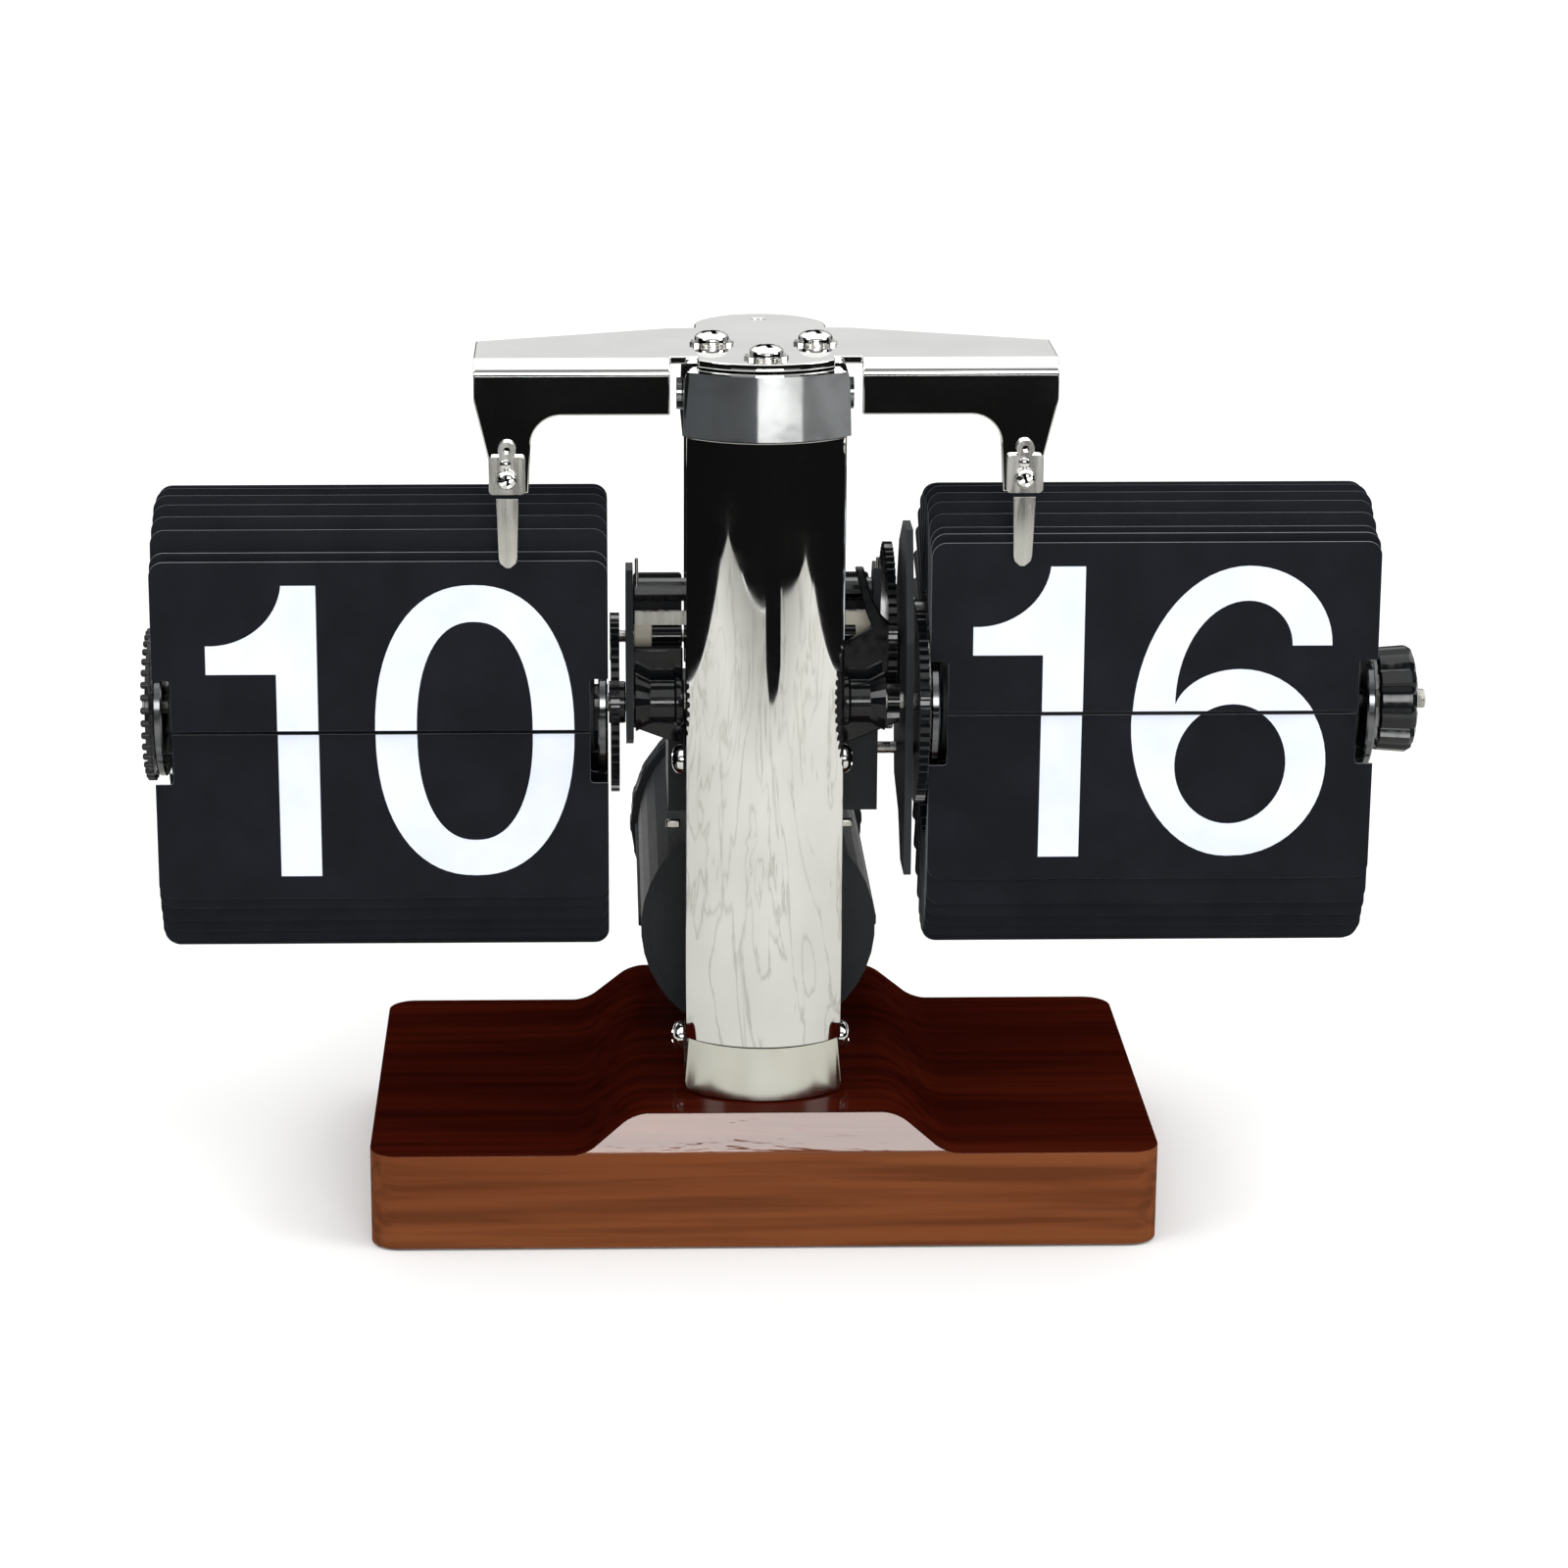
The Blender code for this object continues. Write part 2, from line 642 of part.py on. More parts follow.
def leaf_outline(span, length, foot):
    """A leaf in its own plane: x across, height from the hinge, with side notches and round corners."""
    low, high = span
    points = [(low + NOTCH_WIDTH, foot), (high - NOTCH_WIDTH, foot), (high - NOTCH_WIDTH, NOTCH_LENGTH)]
    points.append((high, NOTCH_LENGTH))
    points += arc((high - LEAF_CORNER, length - LEAF_CORNER), LEAF_CORNER, 0, 90, 3)
    points += arc((low + LEAF_CORNER, length - LEAF_CORNER), LEAF_CORNER, 90, 180, 3)
    points += [(low, NOTCH_LENGTH), (low + NOTCH_WIDTH, NOTCH_LENGTH)]
    return points


def leaf_shape(span, thickness, hinge, lean, foot):
    """One leaf standing on a hinge point in Y and Z. Lean is the turn back from straight up, in degrees."""
    shape = prism(leaf_outline(span, LEAF_LENGTH, foot), -thickness / 2.0, thickness / 2.0, "Y")
    turn = -math.radians(lean)
    for vert in shape.verts:
        x, y, z = vert.co
        vert.co = (
            x,
            hinge[0] + y * math.cos(turn) - z * math.sin(turn),
            hinge[1] + y * math.sin(turn) + z * math.cos(turn),
        )
    return shape


def build_leaf(name, span, hinge_y, hinge_z, lean):
    """One loose leaf whose origin is on its hinge line."""
    middle = (span[0] + span[1]) / 2.0
    shape = leaf_shape(span, LEAF_THICKNESS, (hinge_y, hinge_z), lean, 0.25)
    add_object(name, shape, LEAF_PLASTIC, origin=(middle, hinge_y, hinge_z))


LEAF_STOPS = (
    (3.0, 92.0),
    (45.0, 108.0),
    (90.0, 130.0),
    (150.0, 178.0),
    (200.0, 232.0),
    (250.0, 262.0),
    (360.0, 270.0),
)


def leaf_direction(pivot_turn):
    """Direction of a leaf, in degrees from the front over the top, for a pivot at that turn."""
    for (start, low), (end, high) in zip(LEAF_STOPS, LEAF_STOPS[1:]):
        if pivot_turn <= end:
            return low + (high - low) * (pivot_turn - start) / (end - start)
    return LEAF_STOPS[-1][1]


def build_fan(name, span):
    """The leaves that wait round the drum, standing on one common core."""
    core_x = (span[0] + NOTCH_WIDTH, span[1] - NOTCH_WIDTH)
    fan = add_object(name, tube(core_x, FAN_CORE_RADIUS, FAN_HOLE_RADIUS, AXLE, "X", 32), LEAF_PLASTIC)
    leaves = bmesh.new()
    for index in range(FAN_LEAVES):
        turn = FAN_FIRST_TURN + (FAN_LAST_TURN - FAN_FIRST_TURN) * index / (FAN_LEAVES - 1)
        outward = math.radians(turn)
        hinge = (AXLE_Y - PIVOT_RADIUS * math.cos(outward), AXLE_Z + PIVOT_RADIUS * math.sin(outward))
        lean = leaf_direction(turn) - 90.0
        merge_into(leaves, leaf_shape(span, FAN_LEAF_THICKNESS, hinge, lean, -1.0))
    boolean(fan, add_object(f"{name}_leaves", leaves, None), "UNION")
    half = 9.0
    front = block((core_x[0] - 5.0, core_x[1] + 5.0), (AXLE_Y - 20.0, FAN_FRONT), (AXLE_Z - half, AXLE_Z + half))
    boolean(fan, add_object(f"{name}_front", front, None), "DIFFERENCE")


def build_leaves(name, span, hinge_z):
    build_leaf(f"{name}_leaf_front", span, LEAF_PLANE, hinge_z, LEAF_LEAN)
    build_leaf(f"{name}_leaf_next", span, LEAF_PLANE + 0.8, hinge_z + 1.2, LEAF_LEAN + 1.2)
    build_leaf(f"{name}_leaf_lower", span, LEAF_PLANE + 1.0, hinge_z - 0.3, 180.0)
    build_fan(f"{name}_leaf_fan", span)


def disc(name, span, look=BLACK_PLASTIC):
    origin = (span[0], AXLE_Y, AXLE_Z)
    shape = tube(span, DISC_RADIUS, SHAFT_RADIUS + GAP, AXLE, "X", 32)
    return add_object(name, shape, look, origin=origin, smooth=True)


def build_minute_drum():
    origin = (0.0, AXLE_Y, AXLE_Z)
    low, high = MINUTE_LEAF_SPAN
    shaft = cylinder((-2.8, 107.0), SHAFT_RADIUS, AXLE, "X", 16)
    add_object("minute_shaft", shaft, STEEL, origin=origin, smooth=True)
    disc("minute_inner_disc", (low + 0.1, low + 0.1 + DISC_WIDTH))
    disc("minute_outer_disc", (high - DISC_WIDTH, high))
    wheel = gear(MINUTE_WHEEL_TEETH, MINUTE_WHEEL_X, AXLE, MOTOR_ANGLE, SHAFT_RADIUS + GAP)
    add_object("minute_wheel", wheel, BLACK_PLASTIC, origin=origin)
    pinion_x = (TRANSFER_WHEEL_X[0] - 0.3, TRANSFER_WHEEL_X[1] + 0.3)
    pinion = gear(MINUTE_PINION_TEETH, pinion_x, AXLE, TRANSFER_ANGLE, SHAFT_RADIUS + 0.12)
    add_object("minute_pinion", pinion, WHITE_PLASTIC, origin=origin)
    build_knob(origin)


def build_knob(origin):
    outline = []
    steps = KNOB_LOBES * 4
    for index in range(steps):
        turn = 2.0 * math.pi * index / steps
        radius = KNOB_RADIUS - 0.45 + 0.45 * math.cos(KNOB_LOBES * turn)
        outline.append((AXLE_Y + radius * math.cos(turn), AXLE_Z + radius * math.sin(turn)))
    knob = add_object("set_knob", prism(outline, KNOB_X[0], KNOB_X[1], "X"), BLACK_PLASTIC, origin=origin)
    hole = add_object("knob_hole", cylinder((90.0, 110.0), SHAFT_RADIUS + GAP, AXLE, "X", 16), None)
    boolean(knob, hole, "DIFFERENCE")


def build_hour_drum():
    origin = (0.0, AXLE_Y, AXLE_Z)
    low, high = HOUR_LEAF_SPAN
    shaft = cylinder((-99.6, -3.1), SHAFT_RADIUS, AXLE, "X", 16)
    add_object("hour_shaft", shaft, STEEL, origin=origin, smooth=True)
    disc("hour_inner_disc", (high - 0.1 - DISC_WIDTH, high - 0.1))
    disc("hour_outer_disc", (low, low + DISC_WIDTH))
    phase = TRANSFER_ANGLE + math.pi / HOUR_WHEEL_TEETH
    wheel = gear(HOUR_WHEEL_TEETH, HOUR_WHEEL_X, AXLE, phase, SHAFT_RADIUS + GAP)
    add_object("hour_wheel", wheel, BLACK_PLASTIC, origin=origin)
    detent = tube((low - 1.7, low - GAP), 12.4, SHAFT_RADIUS + GAP, AXLE, "X", 48)
    add_object("hour_detent_ring", detent, BLACK_PLASTIC, origin=origin, smooth=True)


def build_transfer():
    origin = (0.0, TRANSFER[0], TRANSFER[1])
    shaft_x = (TRANSFER_PINION_X[0], RIGHT_PLATE_X[1] - 0.2)
    shaft = cylinder(shaft_x, ARBOR_RADIUS, TRANSFER, "X", 12)
    add_object("transfer_shaft", shaft, STEEL, origin=origin, smooth=True)
    wheel_phase = TRANSFER_ANGLE + math.pi + math.pi / TRANSFER_WHEEL_TEETH
    wheel = gear(TRANSFER_WHEEL_TEETH, TRANSFER_WHEEL_X, TRANSFER, wheel_phase, ARBOR_RADIUS + GAP)
    add_object("transfer_wheel", wheel, WHITE_PLASTIC, origin=origin)
    phase = TRANSFER_ANGLE + math.pi
    pinion = gear(TRANSFER_PINION_TEETH, TRANSFER_PINION_X, TRANSFER, phase, ARBOR_RADIUS + GAP)
    add_object("transfer_pinion", pinion, WHITE_PLASTIC, origin=origin)


def build_motor():
    origin = (0.0, MOTOR[0], MOTOR[1])
    arbor_x = (CASE_X[0] + 6.0, MINUTE_WHEEL_X[1])
    shaft = cylinder(arbor_x, ARBOR_RADIUS, MOTOR, "X", 12)
    add_object("motor_shaft", shaft, STEEL, origin=origin, smooth=True)
    phase = MOTOR_ANGLE + math.pi + math.pi / MOTOR_PINION_TEETH
    pinion = gear(MOTOR_PINION_TEETH, MINUTE_WHEEL_X, MOTOR, phase, ARBOR_RADIUS + GAP)
    add_object("motor_pinion", pinion, BRASS, origin=origin)
    case = add_object("motor_case", block(CASE_X, CASE_Y, CASE_Z), BLACK_PLASTIC)
    inner_x = (CASE_X[0] + CASE_WALL, CASE_X[1] - CASE_WALL)
    inner_y = (CASE_Y[0] + CASE_WALL, CASE_Y[1] + 1.0)
    inner_z = (CASE_Z[0] + CASE_WALL, CASE_Z[1] - CASE_WALL)
    boolean(case, add_object("case_hollow", block(inner_x, inner_y, inner_z), None), "DIFFERENCE")
    drill("case_bearing", (case,), (16.0, 40.0), ARBOR_RADIUS + GAP, MOTOR, "X")
    lid_y = (CASE_Y[1] + GAP, CASE_Y[1] + GAP + CASE_WALL)
    add_object("motor_lid", block(CASE_X, lid_y, CASE_Z), BLACK_PLASTIC)
    coil = tube((-12.0, -2.0), 4.6, 1.6, (12.0, 72.5), "X", 20)
    add_object("motor_coil", coil, BRASS, smooth=True)
    board = block((1.0, 16.8), (8.0, 9.6), (CASE_Z[0] + 2.0, CASE_Z[1] - 2.0))
    add_object("circuit_board", board, GREEN_BOARD)


def frame_plate(name, outline, x_span):
    return add_object(name, prism(outline, x_span[0], x_span[1], "X"), BLACK_PLASTIC)


def build_frame():
    left = [(-18.6, 80.0), (-9.0, 76.5), (5.6, 86.0), (6.4, 94.0)]
    left += [(1.6, 104.2), (-4.0, 104.2), (-18.6, 90.0)]
    left_plate = frame_plate("frame_plate_left", left, LEFT_PLATE_X)
    right = [(-20.5, 57.5), (-12.0, 57.5), (-6.0, 64.0), (5.0, 67.5), (9.0, 80.0), (7.4, 95.0)]
    right += [(1.0, 108.0), (-7.0, 113.0), (-14.0, 113.0), (-20.5, 96.0)]
    right_plate = frame_plate("frame_plate_right", right, RIGHT_PLATE_X)
    span = (-30.0, 30.0)
    axle_hole = add_object("plate_axle_hole", cylinder(span, SHAFT_RADIUS + GAP, AXLE, "X", 16), None)
    transfer_bore = cylinder(span, ARBOR_RADIUS + GAP, TRANSFER, "X", 12)
    transfer_hole = add_object("plate_transfer_hole", transfer_bore, None)
    motor_bore = cylinder((15.0, 30.0), ARBOR_RADIUS + GAP, MOTOR, "X", 12)
    motor_hole = add_object("plate_motor_hole", motor_bore, None)
    inner = [(-3.4, 82.0), (8.0, 82.0), (8.0, 94.0), (2.0, 104.2), (-3.4, 104.2)]
    inner_plate = frame_plate("frame_plate_inner", inner, INNER_PLATE_X)
    for plate in (left_plate, right_plate):
        boolean(plate, axle_hole, "DIFFERENCE")
    for plate in (left_plate, inner_plate, right_plate):
        boolean(plate, transfer_hole, "DIFFERENCE")
    boolean(right_plate, motor_hole, "DIFFERENCE")
    between = (LEFT_PLATE_X[1] + GAP, INNER_PLATE_X[0] - GAP)
    pillar = cylinder(between, 1.9, (-1.6, 100.4), "X", 16)
    add_object("frame_pillar", pillar, STEEL, smooth=True)
    strip = block(between, (-3.3, -2.3), (94.9, 97.1))
    add_object("frame_strip", strip, STEEL)
    for name, side, end in (("bearing_left", -1.0, LEFT_PLATE_X[1] + GAP), ("bearing_right", 1.0, 19.7)):
        start = side * (COLUMN_HALF + GAP)
        flare = end - side * 3.0
        bore = SHAFT_RADIUS + GAP
        profile = [(start, bore), (start, 3.2), (flare, 3.2), (end, 4.8), (end, bore)]
        add_object(name, turned(profile, AXLE, "X", 24), STEEL, smooth=True)


def build_battery():
    centre = (0.0, BATTERY_Z)
    front, rear = BATTERY_TUBE_Y
    holder_profile = [
        (front, 0.0),
        (front, BATTERY_OUTER),
        (rear, BATTERY_OUTER),
        (rear, BATTERY_INNER),
        (front + 1.8, BATTERY_INNER),
        (front + 1.8, 0.0),
    ]
    add_object("battery_tube", turned(holder_profile, centre, "Y", 40), BLACK_PLASTIC, smooth=True)
    spring = tube((front + 2.1, front + 3.4), 5.0, 2.6, centre, "Y", 20)
    add_object("battery_spring", spring, STEEL, smooth=True)
    cell_front = front + 3.8
    cell_rear = cell_front + CELL_LENGTH
    cell_profile = [
        (cell_front, 0.0),
        (cell_front, CELL_RADIUS - 0.8),
        (cell_front + 0.8, CELL_RADIUS),
        (cell_rear - 1.8, CELL_RADIUS),
        (cell_rear - 1.0, CELL_RADIUS - 1.2),
        (cell_rear - 1.0, 4.5),
        (cell_rear, 4.5),
        (cell_rear, 0.0),
    ]
    middle = (0.0, (cell_front + cell_rear) / 2.0, BATTERY_Z)
    add_object("battery_cell", turned(cell_profile, centre, "Y", 32), CELL_STEEL, origin=middle, smooth=True)
    build_battery_cap(rear + GAP, cell_rear)


def build_battery_cap(skirt_front, cell_rear):
    """A screw cap: a cup whose skirt meets the tube's rear edge."""
    centre = (0.0, BATTERY_Z)
    inside = BATTERY_OUTER - 2.4
    cup = [
        (cell_rear + 2.2, 0.0),
        (cell_rear + 2.2, BATTERY_CAP_RADIUS - 0.7),
        (cell_rear + 1.6, BATTERY_CAP_RADIUS),
        (skirt_front, BATTERY_CAP_RADIUS),
        (skirt_front, inside),
        (cell_rear + 0.5, inside),
        (cell_rear + 0.5, 0.0),
    ]
    origin = (0.0, cell_rear, BATTERY_Z)
    add_object("battery_cap", turned(cup, centre, "Y", 40), BLACK_PLASTIC, origin=origin, smooth=True)


def build():
    clear_scene()
    build_base()
    build_column()
    build_bracket()
    build_retainer("hour", -1.0)
    build_retainer("minute", 1.0)
    build_frame()
    build_battery()
    build_motor()
    build_transfer()
    build_minute_drum()
    build_hour_drum()
    build_leaves("minute", MINUTE_LEAF_SPAN, MINUTE_HINGE_Z)
    build_leaves("hour", HOUR_LEAF_SPAN, HOUR_HINGE_Z)


build()
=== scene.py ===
"""Looks of the flip number clock. Sizes are in millimetres until a mesh is made."""
import math

import bmesh
import bpy
from mathutils import Matrix, Vector
from mathutils.geometry import tessellate_polygon


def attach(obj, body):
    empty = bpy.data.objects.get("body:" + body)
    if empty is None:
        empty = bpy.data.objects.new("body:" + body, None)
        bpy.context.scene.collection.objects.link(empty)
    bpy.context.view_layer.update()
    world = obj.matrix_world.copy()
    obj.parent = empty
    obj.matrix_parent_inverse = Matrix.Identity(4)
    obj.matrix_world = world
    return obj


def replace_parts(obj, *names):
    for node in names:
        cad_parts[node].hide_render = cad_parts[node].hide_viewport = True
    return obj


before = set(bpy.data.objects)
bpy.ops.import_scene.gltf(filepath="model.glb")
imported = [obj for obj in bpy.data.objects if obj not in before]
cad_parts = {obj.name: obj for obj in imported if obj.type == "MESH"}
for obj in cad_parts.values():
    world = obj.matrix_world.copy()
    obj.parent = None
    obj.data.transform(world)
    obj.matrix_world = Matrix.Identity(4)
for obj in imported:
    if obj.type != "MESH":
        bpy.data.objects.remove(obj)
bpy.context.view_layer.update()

MM = 0.001
FRAME = "clock_frame"
AXLE_Y = -13.1
AXLE_Z = 84.6
AXLE = (AXLE_Y, AXLE_Z)
PIVOT_RADIUS = 10.4
LEAF_LENGTH = 27.6
LEAF_THICKNESS = 0.5
LEAF_PLANE = -23.3
LEAF_LEAN = 2.0
LEAF_FOOT = 0.25
LEAF_CORNER = 2.3
NOTCH_WIDTH = 2.9
NOTCH_LENGTH = 8.5
NOTCH_CORNER = 0.6
SHAFT_BORE = 1.8
DISPLAYS = {
    "minute": {
        "span": (26.3, 97.4),
        "hinge": 85.2,
        "digits": ("1", "6"),
        "places": (33.0, 58.5),
        "next_digits": ("1", "7"),
        "next_places": (33.0, 58.5),
    },
    "hour": {
        "span": (-97.0, -24.8),
        "hinge": 82.6,
        "digits": ("1", "0"),
        "places": (-88.4, -61.8),
        "next_digits": ("1", "1"),
        "next_places": (-88.4, -54.8),
    },
}

# ---------------------------------------------------------------- mesh helpers


def make_object(name, shape):
    """Turn a bmesh in millimetres into an object in metres. The bmesh is used up."""
    bmesh.ops.scale(shape, verts=shape.verts, vec=(MM, MM, MM))
    bmesh.ops.recalc_face_normals(shape, faces=shape.faces)
    mesh = bpy.data.meshes.new(name)
    shape.to_mesh(mesh)
    shape.free()
    made = bpy.data.objects.new(name, mesh)
    bpy.context.scene.collection.objects.link(made)
    return made


def add_piece(name, shape, material, body, smooth=35.0, bevel=0.0, segments=2):
    """Turn a bmesh into a piece that rides on a body. Edges sharper than the smooth angle stay sharp."""
    piece = make_object(name, shape)
    mesh = piece.data
    mesh.materials.append(material)
    if bevel > 0.0:
        rounding = piece.modifiers.new("bevel", "BEVEL")
        rounding.width = bevel * MM
        rounding.segments = segments
        rounding.limit_method = "ANGLE"
        rounding.angle_limit = math.radians(40.0)
    mesh.shade_smooth()
    mesh.set_sharp_from_angle(angle=math.radians(smooth))
    flattening = piece.modifiers.new("flat_faces", "WEIGHTED_NORMAL")
    flattening.keep_sharp = True
    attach(piece, body)
    return piece


def add_black(name, shape, material, body=FRAME, smooth=40.0, bevel=0.0):
    return add_piece(name, shape, material, body, smooth, bevel)


def add_steel(name, shape, smooth=40.0, bevel=0.0, body=FRAME):
    return add_piece(name, shape, STEEL, body, smooth, bevel)


def add_chrome(name, shape, material, smooth=40.0, bevel=0.0, segments=2):
    return add_piece(name, shape, material, FRAME, smooth, bevel, segments)


def combine(shape, tools, operation):
    """Apply Booleans to a bmesh in millimetres and return the result as a bmesh in millimetres."""
    target = make_object("combine_target", shape)
    helpers = [make_object(f"combine_tool_{index}", tool) for index, tool in enumerate(tools)]
    for helper in helpers:
        modifier = target.modifiers.new("cut", "BOOLEAN")
        modifier.operation = operation
        modifier.object = helper
    bpy.context.view_layer.update()
    evaluated = target.evaluated_get(bpy.context.evaluated_depsgraph_get())
    result = bmesh.new()
    result.from_mesh(evaluated.to_mesh())
    evaluated.to_mesh_clear()
    for item in [target] + helpers:
        mesh = item.data
        bpy.data.objects.remove(item, do_unlink=True)
        bpy.data.meshes.remove(mesh)
    bmesh.ops.scale(result, verts=result.verts, vec=(1.0 / MM, 1.0 / MM, 1.0 / MM))
    return result


def carve(shape, *tools):
    return combine(shape, tools, "DIFFERENCE")


def weld(shape, *tools):
    return combine(shape, tools, "UNION")


def loft(outlines):
    """A solid through matching outlines of points, with a cap at each end."""
    shape = bmesh.new()
    rings = [[shape.verts.new(point) for point in outline] for outline in outlines]
    count = len(rings[0])
    for first, second in zip(rings, rings[1:]):
        for index in range(count):
            following = (index + 1) % count
            shape.faces.new((first[index], first[following], second[following], second[index]))
    shape.faces.new(list(reversed(rings[0])))
    shape.faces.new(rings[-1])
    return shape


def prism(outline, low, high, axis):
    """Extrude a closed outline along X, Y or Z. The outline is in the other two axes, in order."""
    return loft([[axis_point(along, a, b, (0.0, 0.0), axis) for a, b in outline] for along in (low, high)])


def corners(first, second):
    return [(first[0], second[0]), (first[1], second[0]), (first[1], second[1]), (first[0], second[1])]


def block(x_span, y_span, z_span):
    return prism(corners(x_span, y_span), z_span[0], z_span[1], "Z")


def axis_point(along, first, second, centre, axis):
    """A point at a height along an axis, and at two distances across it from a centre."""
    if axis == "X":
        return (along, centre[0] + first, centre[1] + second)
    if axis == "Y":
        return (centre[0] + first, along, centre[1] + second)
    return (centre[0] + first, centre[1] + second, along)


def turned(profile, centre, axis, sides=48):
    """Turn (position along the axis, radius) points about an axis through a point."""
    shape = bmesh.new()
    solid = profile[0][1] == 0.0 and profile[-1][1] == 0.0
    rings = []
    for along, radius in profile:
        if radius == 0.0:
            rings.append([shape.verts.new(axis_point(along, 0.0, 0.0, centre, axis))])
            continue
        ring = []
        for index in range(sides):
            turn = 2.0 * math.pi * (index + 0.5) / sides
            point = axis_point(along, radius * math.cos(turn), radius * math.sin(turn), centre, axis)
            ring.append(shape.verts.new(point))
        rings.append(ring)
    pairs = list(zip(rings, rings[1:]))
    if not solid:
        pairs.append((rings[-1], rings[0]))
    for first, second in pairs:
        for index in range(sides):
            following = (index + 1) % sides
            around = [first[index % len(first)], first[following % len(first)]]
            around += [second[following % len(second)], second[index % len(second)]]
            shape.faces.new(list(dict.fromkeys(around)))
    return shape


def cylinder(span, radius, centre, axis, sides=32):
    low, high = span
    return turned([(low, 0.0), (low, radius), (high, radius), (high, 0.0)], centre, axis, sides)


def tube(span, outer, inner, centre, axis, sides=48):
    low, high = span
    return turned([(low, inner), (low, outer), (high, outer), (high, inner)], centre, axis, sides)


def arc(centre, radius, start, end, steps):
    """Points on an arc between two angles in degrees. The radius may be a pair for an ellipse."""
    across, up = radius if isinstance(radius, tuple) else (radius, radius)
    points = []
    for index in range(steps + 1):
        turn = math.radians(start + (end - start) * index / steps)
        points.append((centre[0] + across * math.cos(turn), centre[1] + up * math.sin(turn)))
    return points


def bow_radius(half, sagitta):
    """Radius of the arc over a chord."""
    return (half * half + sagitta * sagitta) / (2.0 * sagitta)


def ring_outline(centre, steps, radius_at, stretch=1.0):
    """An outline round a centre, whose radius is a function of the step."""
    points = []
    for index in range(steps):
        turn = 2.0 * math.pi * index / steps
        radius = radius_at(index)
        points.append((centre[0] + radius * math.cos(turn), centre[1] + stretch * radius * math.sin(turn)))
    return points


def rounded_rectangle(x_span, y_span, radius, steps=6):
    centres = [
        ((x_span[1] - radius, y_span[0] + radius), -90),
        ((x_span[1] - radius, y_span[1] - radius), 0),
        ((x_span[0] + radius, y_span[1] - radius), 90),
        ((x_span[0] + radius, y_span[0] + radius), 180),
    ]
    points = []
    for centre, start in centres:
        points += arc(centre, radius, start, start + 90, steps)
    return points


def merge_into(target, extra):
    lookup = {vert: target.verts.new(vert.co) for vert in extra.verts}
    for face in extra.faces:
        target.faces.new([lookup[vert] for vert in face.verts])
    extra.free()
    return target


def turn_about_x(shape, hinge, degrees):
    """Turn a bmesh about an X axis through a point in Y and Z."""
    pivot = Vector((0.0, hinge[0], hinge[1]))
    turn = Matrix.Rotation(math.radians(degrees), 4, "X")
    shape.transform(Matrix.Translation(pivot) @ turn @ Matrix.Translation(-pivot))
    return shape


# ---------------------------------------------------------------- materials


class Shader:
    """A Principled material with helpers for the nodes that feed it."""

    def __init__(self, name, colour, roughness, metallic=0.0):
        self.material = bpy.data.materials.new(name)
        self.material.use_nodes = True
        self.tree = self.material.node_tree
        self.principled = self.tree.nodes["Principled BSDF"]
        self.set("Base Color", (*colour, 1.0))
        self.set("Roughness", roughness)
        self.set("Metallic", metallic)
        self.coordinates = self.tree.nodes.new("ShaderNodeTexCoord")

    def set(self, socket, value):
        self.principled.inputs[socket].default_value = value

    def mapped(self, scale):
        mapping = self.tree.nodes.new("ShaderNodeMapping")
        mapping.inputs["Scale"].default_value = scale
        self.tree.links.new(self.coordinates.outputs["Object"], mapping.inputs["Vector"])
        return mapping.outputs["Vector"]

    def noise(self, scale, detail=4.0, stretch=(1.0, 1.0, 1.0), distortion=0.0):
        texture = self.tree.nodes.new("ShaderNodeTexNoise")
        texture.inputs["Scale"].default_value = scale
        texture.inputs["Detail"].default_value = detail
        texture.inputs["Distortion"].default_value = distortion
        self.tree.links.new(self.mapped(stretch), texture.inputs["Vector"])
        return texture.outputs["Fac"]

    def ramp(self, source, stops):
        node = self.tree.nodes.new("ShaderNodeValToRGB")
        elements = node.color_ramp.elements
        while len(elements) < len(stops):
            elements.new(0.5)
        for element, (position, colour) in zip(elements, stops):
            element.position = position
            element.color = (*colour, 1.0)
        self.tree.links.new(source, node.inputs["Fac"])
        return node.outputs["Color"]

    def span(self, source, low, high, start=0.3, end=0.7):
        node = self.tree.nodes.new("ShaderNodeMapRange")
        node.inputs["From Min"].default_value = start
        node.inputs["From Max"].default_value = end
        node.inputs["To Min"].default_value = low
        node.inputs["To Max"].default_value = high
        self.tree.links.new(source, node.inputs["Value"])
        return node.outputs["Result"]

    def mix(self, factor, first, second, mode="MIX"):
        node = self.tree.nodes.new("ShaderNodeMix")
        node.data_type = "RGBA"
        node.blend_type = mode
        for socket, value in ((node.inputs[0], factor), (node.inputs[6], first), (node.inputs[7], second)):
            if isinstance(value, bpy.types.NodeSocket):
                self.tree.links.new(value, socket)
            else:
                socket.default_value = value
        return node.outputs[2]

    def link(self, source, socket):
        self.tree.links.new(source, self.principled.inputs[socket])

    def bump(self, height, strength, distance, socket="Normal"):
        node = self.tree.nodes.new("ShaderNodeBump")
        node.inputs["Strength"].default_value = strength
        node.inputs["Distance"].default_value = distance
        self.tree.links.new(height, node.inputs["Height"])
        self.link(node.outputs["Normal"], socket)


def chrome_material():
    look = Shader("polished_chrome", (0.80, 0.80, 0.785), 0.03, 1.0)
    smudge = look.noise(60.0, 5.0)
    look.link(look.ramp(smudge, [(0.35, (0.75, 0.75, 0.73)), (0.65, (0.83, 0.83, 0.81))]), "Base Color")
    look.link(look.span(look.noise(180.0, 6.0), 0.012, 0.045), "Roughness")
    look.bump(look.noise(45.0, 2.0), 0.02, 0.0002)
    return look.material


